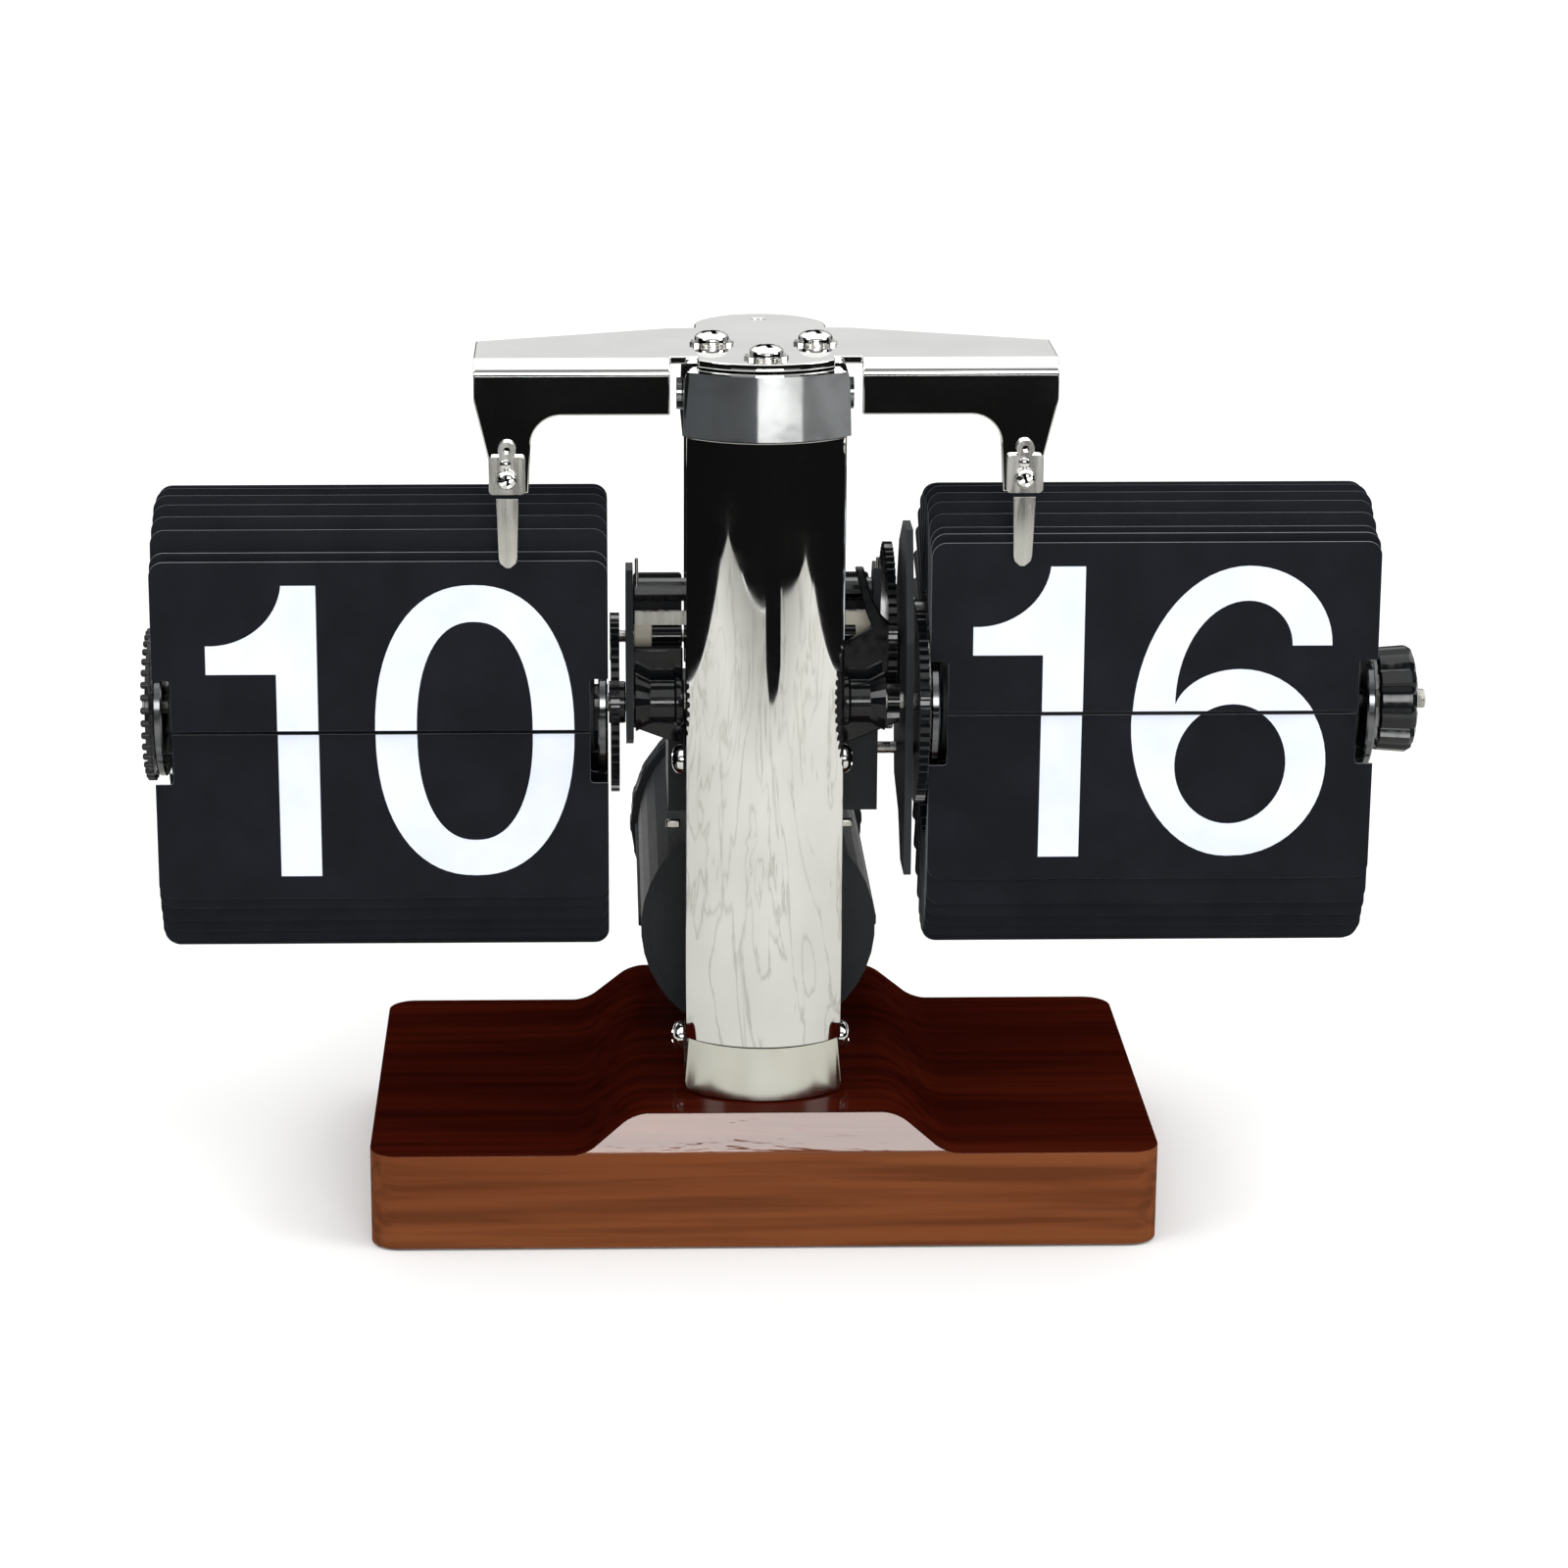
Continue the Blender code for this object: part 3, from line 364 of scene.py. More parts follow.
def cap_chrome_material():
    look = Shader("cap_chrome", (0.78, 0.78, 0.77), 0.09, 1.0)
    cloud = look.noise(95.0, 5.0, (1.0, 1.0, 0.6), 0.8)
    look.link(look.ramp(cloud, [(0.35, (0.66, 0.67, 0.66)), (0.65, (0.84, 0.84, 0.83))]), "Base Color")
    look.link(look.span(cloud, 0.05, 0.16), "Roughness")
    look.bump(look.noise(70.0, 3.0), 0.16, 0.0005)
    return look.material


def satin_chrome_material():
    look = Shader("satin_chrome", (0.74, 0.73, 0.67), 0.2, 1.0)
    cloud = look.noise(120.0, 5.0, (1.0, 1.0, 0.5))
    look.link(look.ramp(cloud, [(0.35, (0.66, 0.65, 0.58)), (0.65, (0.80, 0.79, 0.74))]), "Base Color")
    look.link(look.span(cloud, 0.14, 0.26), "Roughness")
    look.bump(look.noise(60.0, 3.0), 0.1, 0.0004)
    return look.material


def steel_material():
    look = Shader("satin_steel", (0.60, 0.59, 0.56), 0.28, 1.0)
    grain = look.noise(900.0, 3.0, (1.0, 1.0, 0.06))
    look.link(look.ramp(grain, [(0.3, (0.50, 0.49, 0.46)), (0.7, (0.70, 0.69, 0.66))]), "Base Color")
    look.link(look.span(grain, 0.2, 0.36), "Roughness")
    look.bump(grain, 0.12, 0.00005)
    return look.material


def dark_metal_material():
    look = Shader("black_nickel", (0.16, 0.165, 0.17), 0.14, 1.0)
    grain = look.noise(700.0, 4.0, (0.08, 1.0, 1.0))
    look.link(look.ramp(grain, [(0.3, (0.10, 0.105, 0.11)), (0.7, (0.20, 0.205, 0.21))]), "Base Color")
    look.link(look.span(grain, 0.10, 0.22), "Roughness")
    return look.material


def plastic_material(name, colour, roughness, grain_scale, depth, gloss=0.5):
    look = Shader(name, colour, roughness)
    look.set("Specular IOR Level", gloss)
    lighter = tuple(min(1.0, value * 1.3 + 0.001) for value in colour)
    blotch = look.noise(110.0, 4.0)
    look.link(look.ramp(blotch, [(0.35, colour), (0.7, lighter)]), "Base Color")
    fine = look.noise(grain_scale, 3.0)
    look.link(look.span(fine, roughness - 0.06, roughness + 0.08), "Roughness")
    look.bump(fine, 0.25, depth)
    return look.material


def print_material():
    look = Shader("digit_print", (0.80, 0.86, 0.94), 0.45)
    blotch = look.noise(90.0, 4.0)
    look.link(look.ramp(blotch, [(0.35, (0.65, 0.69, 0.79)), (0.65, (0.71, 0.75, 0.84))]), "Base Color")
    look.set("Specular IOR Level", 0.1)
    fine = look.noise(2600.0, 2.0)
    look.link(look.span(fine, 0.38, 0.52), "Roughness")
    look.bump(fine, 0.12, 0.00002)
    return look.material


UPRIGHT_GRAIN = [(0.30, (0.115, 0.032, 0.010)), (0.5, (0.150, 0.044, 0.015)), (0.72, (0.180, 0.057, 0.020))]
# The level faces' grain is darkened by painted shade.
LEVEL_GRAIN_PAINTED_SHADE = [(0.30, (0.024, 0.0024, 0.0010)), (0.5, (0.044, 0.0048, 0.0018))]
LEVEL_GRAIN_PAINTED_SHADE += [(0.72, (0.070, 0.0095, 0.0034))]


def wood_material(name, coat):
    """Stained wood under lacquer, with painted shade that makes its level faces darker. A thick coat is
    uneven.
    """
    look = Shader(name, (0.16, 0.035, 0.014), 0.2)
    rings = look.noise(26.0, 7.0, (0.10, 1.0, 1.3), 1.4)
    fibres = look.noise(420.0, 5.0, (0.035, 1.0, 1.0), 0.3)
    warm = look.ramp(rings, UPRIGHT_GRAIN)
    painted_shade_grain = look.ramp(rings, LEVEL_GRAIN_PAINTED_SHADE)
    # Painted shade: faces that point up take the darker grain.
    normal = look.tree.nodes.new("ShaderNodeSeparateXYZ")
    look.tree.links.new(look.coordinates.outputs["Normal"], normal.inputs[0])
    level_shade_mask = look.span(normal.outputs["Z"], 0.0, 1.0, 0.25, 0.75)
    body = look.mix(level_shade_mask, warm, painted_shade_grain)
    pores = look.ramp(fibres, [(0.38, (0.45, 0.42, 0.40)), (0.58, (1.0, 1.0, 1.0))])
    look.link(look.mix(0.65, body, pores, "MULTIPLY"), "Base Color")
    look.link(look.span(look.noise(70.0, 4.0), 0.30, 0.42), "Roughness")
    look.set("Specular IOR Level", 0.0)
    look.set("Coat Weight", coat)
    look.set("Coat Roughness", 0.07)
    look.bump(fibres, 0.12, 0.00006)
    if coat > 0.5:
        look.bump(look.noise(150.0, 4.0, (0.25, 1.0, 1.0), 0.6), 0.35, 0.0006, "Coat Normal")
    return look.material


def felt_material():
    look = Shader("pressed_felt", (0.02, 0.02, 0.022), 0.95)
    fibre = look.noise(1500.0, 6.0, (1.0, 1.0, 1.0), 2.0)
    look.link(look.ramp(fibre, [(0.3, (0.012, 0.012, 0.014)), (0.7, (0.045, 0.045, 0.05))]), "Base Color")
    look.set("Sheen Weight", 0.3)
    look.bump(fibre, 0.5, 0.0003)
    return look.material


def metal_material(name, colour, roughness):
    look = Shader(name, colour, roughness, 1.0)
    darker = tuple(value * 0.7 for value in colour)
    look.link(look.ramp(look.noise(160.0, 5.0), [(0.3, darker), (0.6, colour)]), "Base Color")
    look.link(look.span(look.noise(600.0, 4.0), roughness - 0.08, roughness + 0.1), "Roughness")
    return look.material


CHROME = chrome_material()
STEEL = steel_material()
DARK_METAL = dark_metal_material()
GLOSS_BLACK = plastic_material("gloss_black_plastic", (0.004, 0.0045, 0.0055), 0.13, 900.0, 0.00002, 0.4)
MATT_BLACK = plastic_material("matt_black_plastic", (0.014, 0.0155, 0.018), 0.5, 1600.0, 0.00008, 0.25)
LEAF = plastic_material("leaf_sheet", (0.0048, 0.0058, 0.0088), 0.5, 2400.0, 0.00006, 0.09)
# The edge colour is a painted highlight along the leaves' cut edges.
LEAF_EDGE_PAINTED_HIGHLIGHT = plastic_material("leaf_edge_painted_highlight", (0.16, 0.17, 0.185), 0.4, 2400.0, 0.00006, 0.4)
CREAM = plastic_material("cream_plastic", (0.60, 0.56, 0.46), 0.42, 700.0, 0.00005)
GREEN = plastic_material("circuit_board_green", (0.02, 0.13, 0.05), 0.4, 500.0, 0.00004)
PRINT = print_material()
SATIN_CHROME = satin_chrome_material()
CAP_CHROME = cap_chrome_material()
WOOD = wood_material("lacquered_wood", 0.10)
WOOD_BEVEL = wood_material("lacquered_wood_bevel", 1.0)
FELT = felt_material()
BRASS = metal_material("brass", (0.72, 0.52, 0.22), 0.28)
JACKET = metal_material("cell_jacket", (0.30, 0.30, 0.32), 0.3)

# ---------------------------------------------------------------- base


BASE_WIDTH = 126.9
BASE_DEPTH = 76.1
BASE_FOOT = 0.4
BASE_TOP = 16.2
BASE_CORNER = 4.5
RISE_TOP = 22.6
RISE_HALF = 21.0
RISE_FOOT_HALF = 29.0


def build_base():
    """The wooden block, whose middle rises and slopes at the front."""
    half = BASE_WIDTH / 2.0
    depth = BASE_DEPTH / 2.0
    right = [(half, BASE_FOOT), (half, BASE_TOP), (RISE_FOOT_HALF, BASE_TOP), (RISE_HALF, RISE_TOP)]
    shape = prism(right + [(-x, z) for x, z in reversed(right)], -depth, depth, "Y")
    upright, shoulder = [], []
    for edge in shape.edges:
        first, second = (vert.co for vert in edge.verts)
        if abs(first.z - second.z) > 5.0 and abs(first.x) > half - 5.0:
            upright.append(edge)
        if abs(first.y - second.y) > 20.0 and abs(first.x) < half - 5.0 and first.z > 10.0:
            shoulder.append(edge)
    bmesh.ops.bevel(shape, geom=upright, offset=BASE_CORNER, segments=8, affect="EDGES", profile=0.5)
    shoulder = [edge for edge in shoulder if edge.is_valid]
    bmesh.ops.bevel(shape, geom=shoulder, offset=2.2, segments=5, affect="EDGES", profile=0.5)
    sloping_front = [(-38.06, BASE_TOP + 0.2), (-39.5, BASE_TOP + 0.2), (-39.5, 24.0), (-35.6, 24.0)]
    shape = carve(shape, prism(sloping_front, -40.0, 40.0, "X"))
    shape.normal_update()
    for face in shape.faces:
        face.material_index = 1 if face.normal.y < -0.5 and face.normal.z > 0.2 else 0
    base = add_piece("wooden_base", shape, WOOD, FRAME, 30.0, 1.5, 5)
    base.data.materials.append(WOOD_BEVEL)
    base.modifiers[0].material = 1
    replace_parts(base, "base_block")


# ---------------------------------------------------------------- column

COLUMN_HALF = 12.5
COLUMN_FRONT = -31.2
COLUMN_SAGITTA = 5.3
COLUMN_REAR = -5.0
FOOT_BOTTOM = 22.9
CAP_TOP = 141.0
CROSS_TURN = math.radians(20.0)


def column_outline(grow, rear, steps=48):
    half = COLUMN_HALF + grow
    radius = bow_radius(half, COLUMN_SAGITTA)
    sweep = math.degrees(math.asin(half / radius))
    points = arc((0.0, COLUMN_FRONT - grow + radius), radius, -90 - sweep, -90 + sweep, steps)
    return points + [(half, rear), (-half, rear)]


def drafted_column(z_span, grow, rear):
    """A solid with the column's plan whose walls lean: grow is given at its bottom and at its top."""
    outlines = []
    for height, amount in zip(z_span, grow):
        outlines.append([(x, y, height) for x, y in column_outline(amount, rear)])
    return loft(outlines)


def build_column():
    hollow = prism(column_outline(-1.3, 4.0), 20.0, 150.0, "Z")
    shell = carve(prism(column_outline(0.0, COLUMN_REAR), 31.8, 130.6, "Z"), hollow)
    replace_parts(add_chrome("column_front_shell", shell, CHROME, 40.0, 0.12), "column_shell")
    foot = drafted_column((FOOT_BOTTOM, 31.5), (0.2, -0.5), COLUMN_REAR)
    low = [e for e in foot.edges if max(v.co.z for v in e.verts) < FOOT_BOTTOM + 0.1]
    bmesh.ops.bevel(foot, geom=low, offset=1.5, segments=5, affect="EDGES", profile=0.5)
    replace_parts(add_chrome("column_foot_ring", foot, SATIN_CHROME, 40.0, 0.15), "column_foot")
    cap = drafted_column((130.9, CAP_TOP), (0.62, 0.32), -3.6)
    top = [e for e in cap.edges if min(v.co.z for v in e.verts) > CAP_TOP - 0.1]
    bmesh.ops.bevel(cap, geom=top, offset=1.5, segments=6, affect="EDGES", profile=0.5)
    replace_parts(add_chrome("column_top_cap", cap, CAP_CHROME, 40.0, 0.18), "column_cap")
    for side, side_name in ((-1.0, "left"), (1.0, "right")):
        for level, height in (("upper", 75.5), ("lower", 28.2)):
            name = f"side_screw_{level}_{side_name}"
            head = pan_head(side * 12.8, side * 14.6, 2.4, (-14.8, height), "X")
            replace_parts(add_chrome(f"{name}_head", head, CHROME), name)
        stud = ribbed_stud(side * 13.1, side * 13.9, 2.0, (-18.0, 136.0))
        add_chrome(f"cap_stud_{side_name}", stud, DARK_METAL, 20.0)


def pan_head(seat, outer, radius, centre, axis):
    """A domed screw head with a cross recess. It stands on its seat and faces outwards."""
    reach = outer - seat
    profile = [(seat, 0.0), (seat, radius), (seat + 0.25 * reach, radius)]
    for index in range(1, 7):
        turn = math.radians(90.0 * index / 6.0)
        profile.append((seat + reach * (0.25 + 0.75 * math.sin(turn)), radius * math.cos(turn) ** 0.8))
    profile[-1] = (outer, 0.0)
    head = turned(profile, centre, axis, 32)
    wide = radius * 0.16
    long = radius * 0.62
    span = sorted((seat + 0.35 * reach, outer + reach))
    first = oriented_block(span, (-long, long), (-wide, wide), centre, axis)
    second = oriented_block(span, (-wide, wide), (-long, long), centre, axis)
    return carve(head, first, second)


def oriented_block(span, first, second, centre, axis):
    """A block given along an axis and across it, turned about the axis."""
    cosine, sine = math.cos(CROSS_TURN), math.sin(CROSS_TURN)
    rotated = [(a * cosine - b * sine, a * sine + b * cosine) for a, b in corners(first, second)]
    return loft([[axis_point(along, a, b, centre, axis) for a, b in rotated] for along in span])


def ribbed_stud(inner, outer, radius, centre):
    """A small knurled head on the cap's side, along X, a little taller than it is wide."""
    outline = ring_outline(centre, 36, lambda index: radius * (1.0 if index % 3 else 0.86), 1.25)
    return prism(outline, min(inner, outer), max(inner, outer), "X")


# ---------------------------------------------------------------- top bracket

BRACKET_TOP = 142.4
SHEET = 1.2
BEND = 2.6
WING_HALF = 45.5
WING_FRONT = -24.1
FLANGE_BOTTOM = 121.4
TONGUE_HALF = 10.6
TONGUE_SAGITTA = 4.1
RETAINER_X = 40.4
RETAINER_SHEET = 0.8
RETAINER_HALF = 2.85
RETAINER_FRONT = WING_FRONT - 0.3


def wing_section():
    """The bent sheet seen from the side: flat on top and hanging down at the front."""
    centre = (WING_FRONT + BEND, BRACKET_TOP - BEND)
    points = [(7.8, BRACKET_TOP)] + arc(centre, BEND, 90, 180, 12)
    points += [(WING_FRONT, FLANGE_BOTTOM), (WING_FRONT + SHEET, FLANGE_BOTTOM)]
    return points + arc(centre, BEND - SHEET, 180, 90, 12) + [(7.8, BRACKET_TOP - SHEET)]


def wing(side):
    """One wing: the bent sheet less what is cut away inside, outside, behind and at its root."""
    low = FLANGE_BOTTOM - 2.0
    inner = [(0.0, low), (37.2, low), (36.7, 128.9)]
    inner += arc((31.9, 128.9), 4.8, 0, 90, 12)[1:] + [(0.0, 133.7)]
    outer = [(46.5, low), (46.5, 136.0), (WING_HALF, 136.0)]
    outer += [(42.4, 122.8), (41.2, FLANGE_BOTTOM), (41.2, low)]
    rear = [(5.0, 13.8), (5.0, 4.7), (15.0, 3.8), (WING_HALF, -7.4), (47.5, -7.4), (47.5, 13.8)]
    root = corners((5.0, 15.0), (-26.1, -21.1))

    def cutter(points, span, axis):
        return prism([(side * a, b) for a, b in points], span[0], span[1], axis)

    tools = [cutter(inner, (-26.1, -18.1), "Y"), cutter(outer, (-26.1, -18.1), "Y")]
    tools += [cutter(rear, (113.7, 144.4), "Z"), cutter(root, (low, 144.4), "Z")]
    span = sorted((side * 9.0, side * WING_HALF))
    return carve(prism(wing_section(), span[0], span[1], "X"), *tools)


def build_bracket():
    front_radius = bow_radius(TONGUE_HALF, TONGUE_SAGITTA)
    sweep = math.degrees(math.asin(TONGUE_HALF / front_radius))
    plan = arc((0.0, -28.2 + front_radius), front_radius, -90 - sweep, -90 + sweep, 24)
    plan += arc((0.0, 6.3), TONGUE_HALF, 0, 180, 32)
    shape = weld(prism(plan, BRACKET_TOP - SHEET, BRACKET_TOP, "Z"), wing(-1.0), wing(1.0))
    dimple = cylinder((BRACKET_TOP - 0.5, BRACKET_TOP + 1.0), 1.1, (0.0, 12.0), "Z")
    bracket = add_chrome("bracket_sheet", carve(shape, dimple), CHROME, 32.0, 0.2, 3)
    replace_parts(bracket, "top_bracket")
    for name, place in (("left", (-8.2, -10.4)), ("right", (8.2, -10.4)), ("front", (0.0, -22.6))):
        head = pan_head(BRACKET_TOP + 0.45, BRACKET_TOP + 2.1, 2.75, place, "Z")
        piece = add_chrome(f"bracket_screw_{name}_head", head, CHROME)
        add_steel(f"bracket_washer_{name}", toothed_washer(BRACKET_TOP + 0.02, 3.5, place), 20.0)
        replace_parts(piece, f"bracket_screw_{name}")


def toothed_washer(height, radius, centre):
    """A star washer whose teeth are twisted out of its plane."""
    outline = ring_outline(centre, 48, lambda index: radius if index % 4 in (0, 1) else radius * 0.84)
    shape = prism(outline, height, height + 0.4, "Z")
    for vert in shape.verts:
        away = Vector((vert.co.x - centre[0], vert.co.y - centre[1]))
        if away.length > radius * 0.95:
            vert.co.z += 0.16 * math.sin(math.atan2(away.y, away.x) * 24.0)
    return shape


def build_retainers():
    """The small plates on the flanges, with their springs, screws and rivets."""
    front = RETAINER_FRONT
    face = front - RETAINER_SHEET
    for display, middle in (("hour", -RETAINER_X), ("minute", RETAINER_X)):
        x_span = (middle - RETAINER_HALF, middle + RETAINER_HALF)
        outline = rounded_rectangle(x_span, (FLANGE_BOTTOM, 127.4), 0.7, 5)
        eye = tube((face, front), 1.4, 0.55, (middle, 128.4), "Y", 28)
        hole = cylinder((front - 2.0, front + 1.0), 1.1, (middle, 123.8), "Y")
        plate = carve(weld(prism(outline, face, front, "Y"), eye), hole)
        piece = add_steel(f"{display}_retainer_plate", plate, 30.0, 0.1)
        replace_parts(piece, f"{display}_retainer")
        head = pan_head(front - 0.85, front - 2.2, 1.65, (middle, 123.8), "Y")
        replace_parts(add_chrome(f"{display}_retainer_screw_head", head, CHROME), f"{display}_retainer_screw")
        profile = [(face, 0.0), (face, 0.95), (front - 1.35, 0.8), (front - 1.6, 0.4), (front - 1.65, 0.0)]
        rivet = turned(profile, (middle - 0.2, 126.3), "Y", 24)
        add_chrome(f"{display}_retainer_rivet", rivet, CHROME)
        build_finger(display, middle)


FINGER_TOP = 120.7
FINGER_TIP = 109.4
FINGER_SHEET = 0.32
FINGER_ROUND = 0.87
FINGER_ROWS = 14


def finger_half(share):
    """Half the spring's width, from its root at 0 to its rounded tip at 1."""
    if share == 1.0:
        return 0.35
    if share < FINGER_ROUND:
        return 1.75 - 0.35 * share
    return 1.4 * math.sqrt(1.0 - ((share - FINGER_ROUND) / (1.0 - FINGER_ROUND)) ** 2)


def build_finger(display, middle):
    """The bent leaf spring whose rounded tip holds the front leaf."""
    root_y = RETAINER_FRONT - 0.4
    tip_y = LEAF_PLANE - 0.45
    outlines = []
    for index in range(FINGER_ROWS + 1):
        share = index / FINGER_ROWS
        half = finger_half(share)
        height = FINGER_TOP - (FINGER_TOP - FINGER_TIP) * share
        back = root_y + (tip_y - root_y) * share - 0.28 * math.sin(math.pi * share)
        section = corners((-half, half), (back, back - FINGER_SHEET))
        outlines.append([(middle + x, y, height) for x, y in section])
    finger = add_steel(f"{display}_finger_spring", loft(outlines), 40.0, 0.06)
    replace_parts(finger, f"{display}_finger")


# ---------------------------------------------------------------- digits

DIGIT_HALF = 23.8
SPLIT_GAP = 0.3
PRINT_THICKNESS = 0.05
ONE_WIDTH = 17.6
STEM = 6.5
ROUND_WIDTH = 31.6


def digit_outlines(digit):
    """Outer outline and holes of a digit. X runs from its left edge, and height is from the split line."""
    if digit == "1":
        curve = arc((0.6, DIGIT_HALF + 1.2), (11.6, 10.9), -93, -6, 16)
        outline = [(0.0, 9.5), (0.0, DIGIT_HALF - 9.5)] + curve + [(12.1, DIGIT_HALF)]
        outline += [(ONE_WIDTH, DIGIT_HALF), (ONE_WIDTH, -DIGIT_HALF)]
        outline += [(ONE_WIDTH - STEM, -DIGIT_HALF), (ONE_WIDTH - STEM, 9.5)]
        return outline, []
    if digit == "0":
        middle = ROUND_WIDTH / 2.0
        outer = superellipse((middle, 0.0), middle, DIGIT_HALF, 2.25)
        inner = superellipse((middle, 0.0), middle - 6.6, DIGIT_HALF - 5.9, 2.3)
        return outer, [inner]
    if digit == "6":
        return six_outlines()
    top = DIGIT_HALF
    bar = top - 6.2
    right = [(30.5, top), (30.5, bar + 0.6)] + arc((41.0, -DIGIT_HALF), (24.0, 42.0), 118, 180, 14)
    left = list(reversed(arc((38.5, -DIGIT_HALF), (28.4, 40.6), 112, 180, 14)))
    return [(1.0, top), *right, *left, (1.0, bar)], []


def superellipse(centre, across, up, power, steps=72):
    points = []
    for index in range(steps):
        turn = 2.0 * math.pi * index / steps
        cosine, sine = math.cos(turn), math.sin(turn)
        x = centre[0] + across * math.copysign(abs(cosine) ** (2.0 / power), cosine)
        z = centre[1] + up * math.copysign(abs(sine) ** (2.0 / power), sine)
        points.append((x, z))
    return points


def six_outlines():
    arm_end = 10.9
    top = DIGIT_HALF
    bowl_z = -8.5
    outline = arc((18.0, arm_end), (13.5, top - arm_end), 0, 90, 14)
    outline += arc((18.0, -1.8), (18.0, top + 1.8), 90, 180, 18)[1:]
    outline += arc((15.9, -1.8), (15.9, top - 1.8), 180, 270, 16)[1:]
    outline += arc((16.8, bowl_z), (14.5, top + bowl_z), 270, 360, 14)[1:]
    outline += arc((17.0, bowl_z), (14.3, 15.6), 0, 90, 14)[1:]
    outline += arc((17.0, -0.5), (10.5, 7.6), 90, 166, 12)[1:]
    outline += list(reversed(arc((18.0, 1.8), (11.2, 16.4), 90, 178, 16)))
    outline += arc((18.0, arm_end), (7.2, top - 5.6 - arm_end), 90, 0, 12)[1:]
    counter = superellipse((16.0, bowl_z), 8.9, 9.9, 2.0, 56)
    return outline, [counter]


def digit_half(digit, left, upper):
    """Half of a digit as a thin print standing on the split line at height zero, in the plane y = 0."""
    outline, holes = digit_outlines(digit)
    loops = [[Vector((left + a, b, 0.0)) for a, b in loop] for loop in [outline] + holes]
    shape = bmesh.new()
    points = [shape.verts.new((point.x, 0.0, point.y)) for loop in loops for point in loop]
    for triangle in tessellate_polygon(loops):
        shape.faces.new([points[index] for index in triangle])
    cut_z = SPLIT_GAP if upper else -SPLIT_GAP
    everything = shape.verts[:] + shape.edges[:] + shape.faces[:]
    cut = {"plane_co": (0.0, 0.0, cut_z), "plane_no": (0.0, 0.0, 1.0)}
    bmesh.ops.bisect_plane(shape, geom=everything, clear_inner=upper, clear_outer=not upper, **cut)
    for face in shape.faces:
        if face.normal.y > 0.0:
            face.normal_flip()
    extruded = bmesh.ops.extrude_face_region(shape, geom=shape.faces[:])
    risen = [item for item in extruded["geom"] if isinstance(item, bmesh.types.BMVert)]
    bmesh.ops.translate(shape, verts=risen, vec=(0.0, -PRINT_THICKNESS, 0.0))
    return shape


# ---------------------------------------------------------------- leaves


LEAF_STOPS = (
    (3.0, 92.0),
    (45.0, 108.0),
    (90.0, 130.0),
    (150.0, 178.0),
    (200.0, 232.0),
    (250.0, 262.0),
    (360.0, 270.0),
)
WAITING_LEAVES = 30
WAITING_THICKNESS = 0.42
FIRST_TURN = 14.0
LAST_TURN = 343.0
SAG_START = 200.0
FAN_SAG = 3.1


def leaf_outline(span):
    """A leaf standing on its hinge line, with a notch at each lower corner that leaves a pivot's room."""
    low, high = span
    shoulder = NOTCH_LENGTH - NOTCH_CORNER
    points = [(low + NOTCH_WIDTH, LEAF_FOOT), (high - NOTCH_WIDTH, LEAF_FOOT), (high - NOTCH_WIDTH, shoulder)]
    right_notch = arc((high - NOTCH_WIDTH + NOTCH_CORNER, shoulder), NOTCH_CORNER, 90, 180, 4)
    points += list(reversed(right_notch))[1:]
    points += [(high, NOTCH_LENGTH)]
    points += arc((high - LEAF_CORNER, LEAF_LENGTH - LEAF_CORNER), LEAF_CORNER, 0, 90, 8)
    points += arc((low + LEAF_CORNER, LEAF_LENGTH - LEAF_CORNER), LEAF_CORNER, 90, 180, 8)
    points += [(low, NOTCH_LENGTH)]
    left_notch = arc((low + NOTCH_WIDTH - NOTCH_CORNER, shoulder), NOTCH_CORNER, 0, 90, 4)
    return points + list(reversed(left_notch))


def leaf_mesh(span, thickness, hinge, lean):
    shape = prism(leaf_outline(span), -thickness / 2.0, thickness / 2.0, "Y")
    shape.normal_update()
    for face in shape.faces:
        face.material_index = 1 if abs(face.normal.y) < 0.5 else 0
    bmesh.ops.translate(shape, verts=shape.verts, vec=(0.0, hinge[0], hinge[1]))
    return turn_about_x(shape, hinge, -lean)


def leaf_direction(turn):
    """Direction of a waiting leaf, in degrees from the front over the top, for its pivot's turn."""
    for (start, low), (end, high) in zip(LEAF_STOPS, LEAF_STOPS[1:]):
        if turn <= end:
            return low + (high - low) * (turn - start) / (end - start)
    return LEAF_STOPS[-1][1]


def put_print(name, digits, places, upper, hinge, lean, offset, body):
    """Print half digits on a leaf's face, which lies at an offset in front of the leaf's middle plane."""
    shape = bmesh.new()
    for digit, left in zip(digits, places):
        merge_into(shape, digit_half(digit, left, upper))
    bmesh.ops.translate(shape, verts=shape.verts, vec=(0.0, hinge[0] - offset, hinge[1]))
    turn_about_x(shape, hinge, -lean)
    add_piece(name, shape, PRINT, body, 30.0)


def add_leaf(name, span, thickness, hinge, lean, body):
    """A leaf whose cut edges are painted paler: a painted highlight."""
    shape = leaf_mesh(span, thickness, hinge, lean)
    leaf = add_piece(name, shape, LEAF, body, 30.0, 0.1)
    leaf.data.materials.append(LEAF_EDGE_PAINTED_HIGHLIGHT)
    return leaf


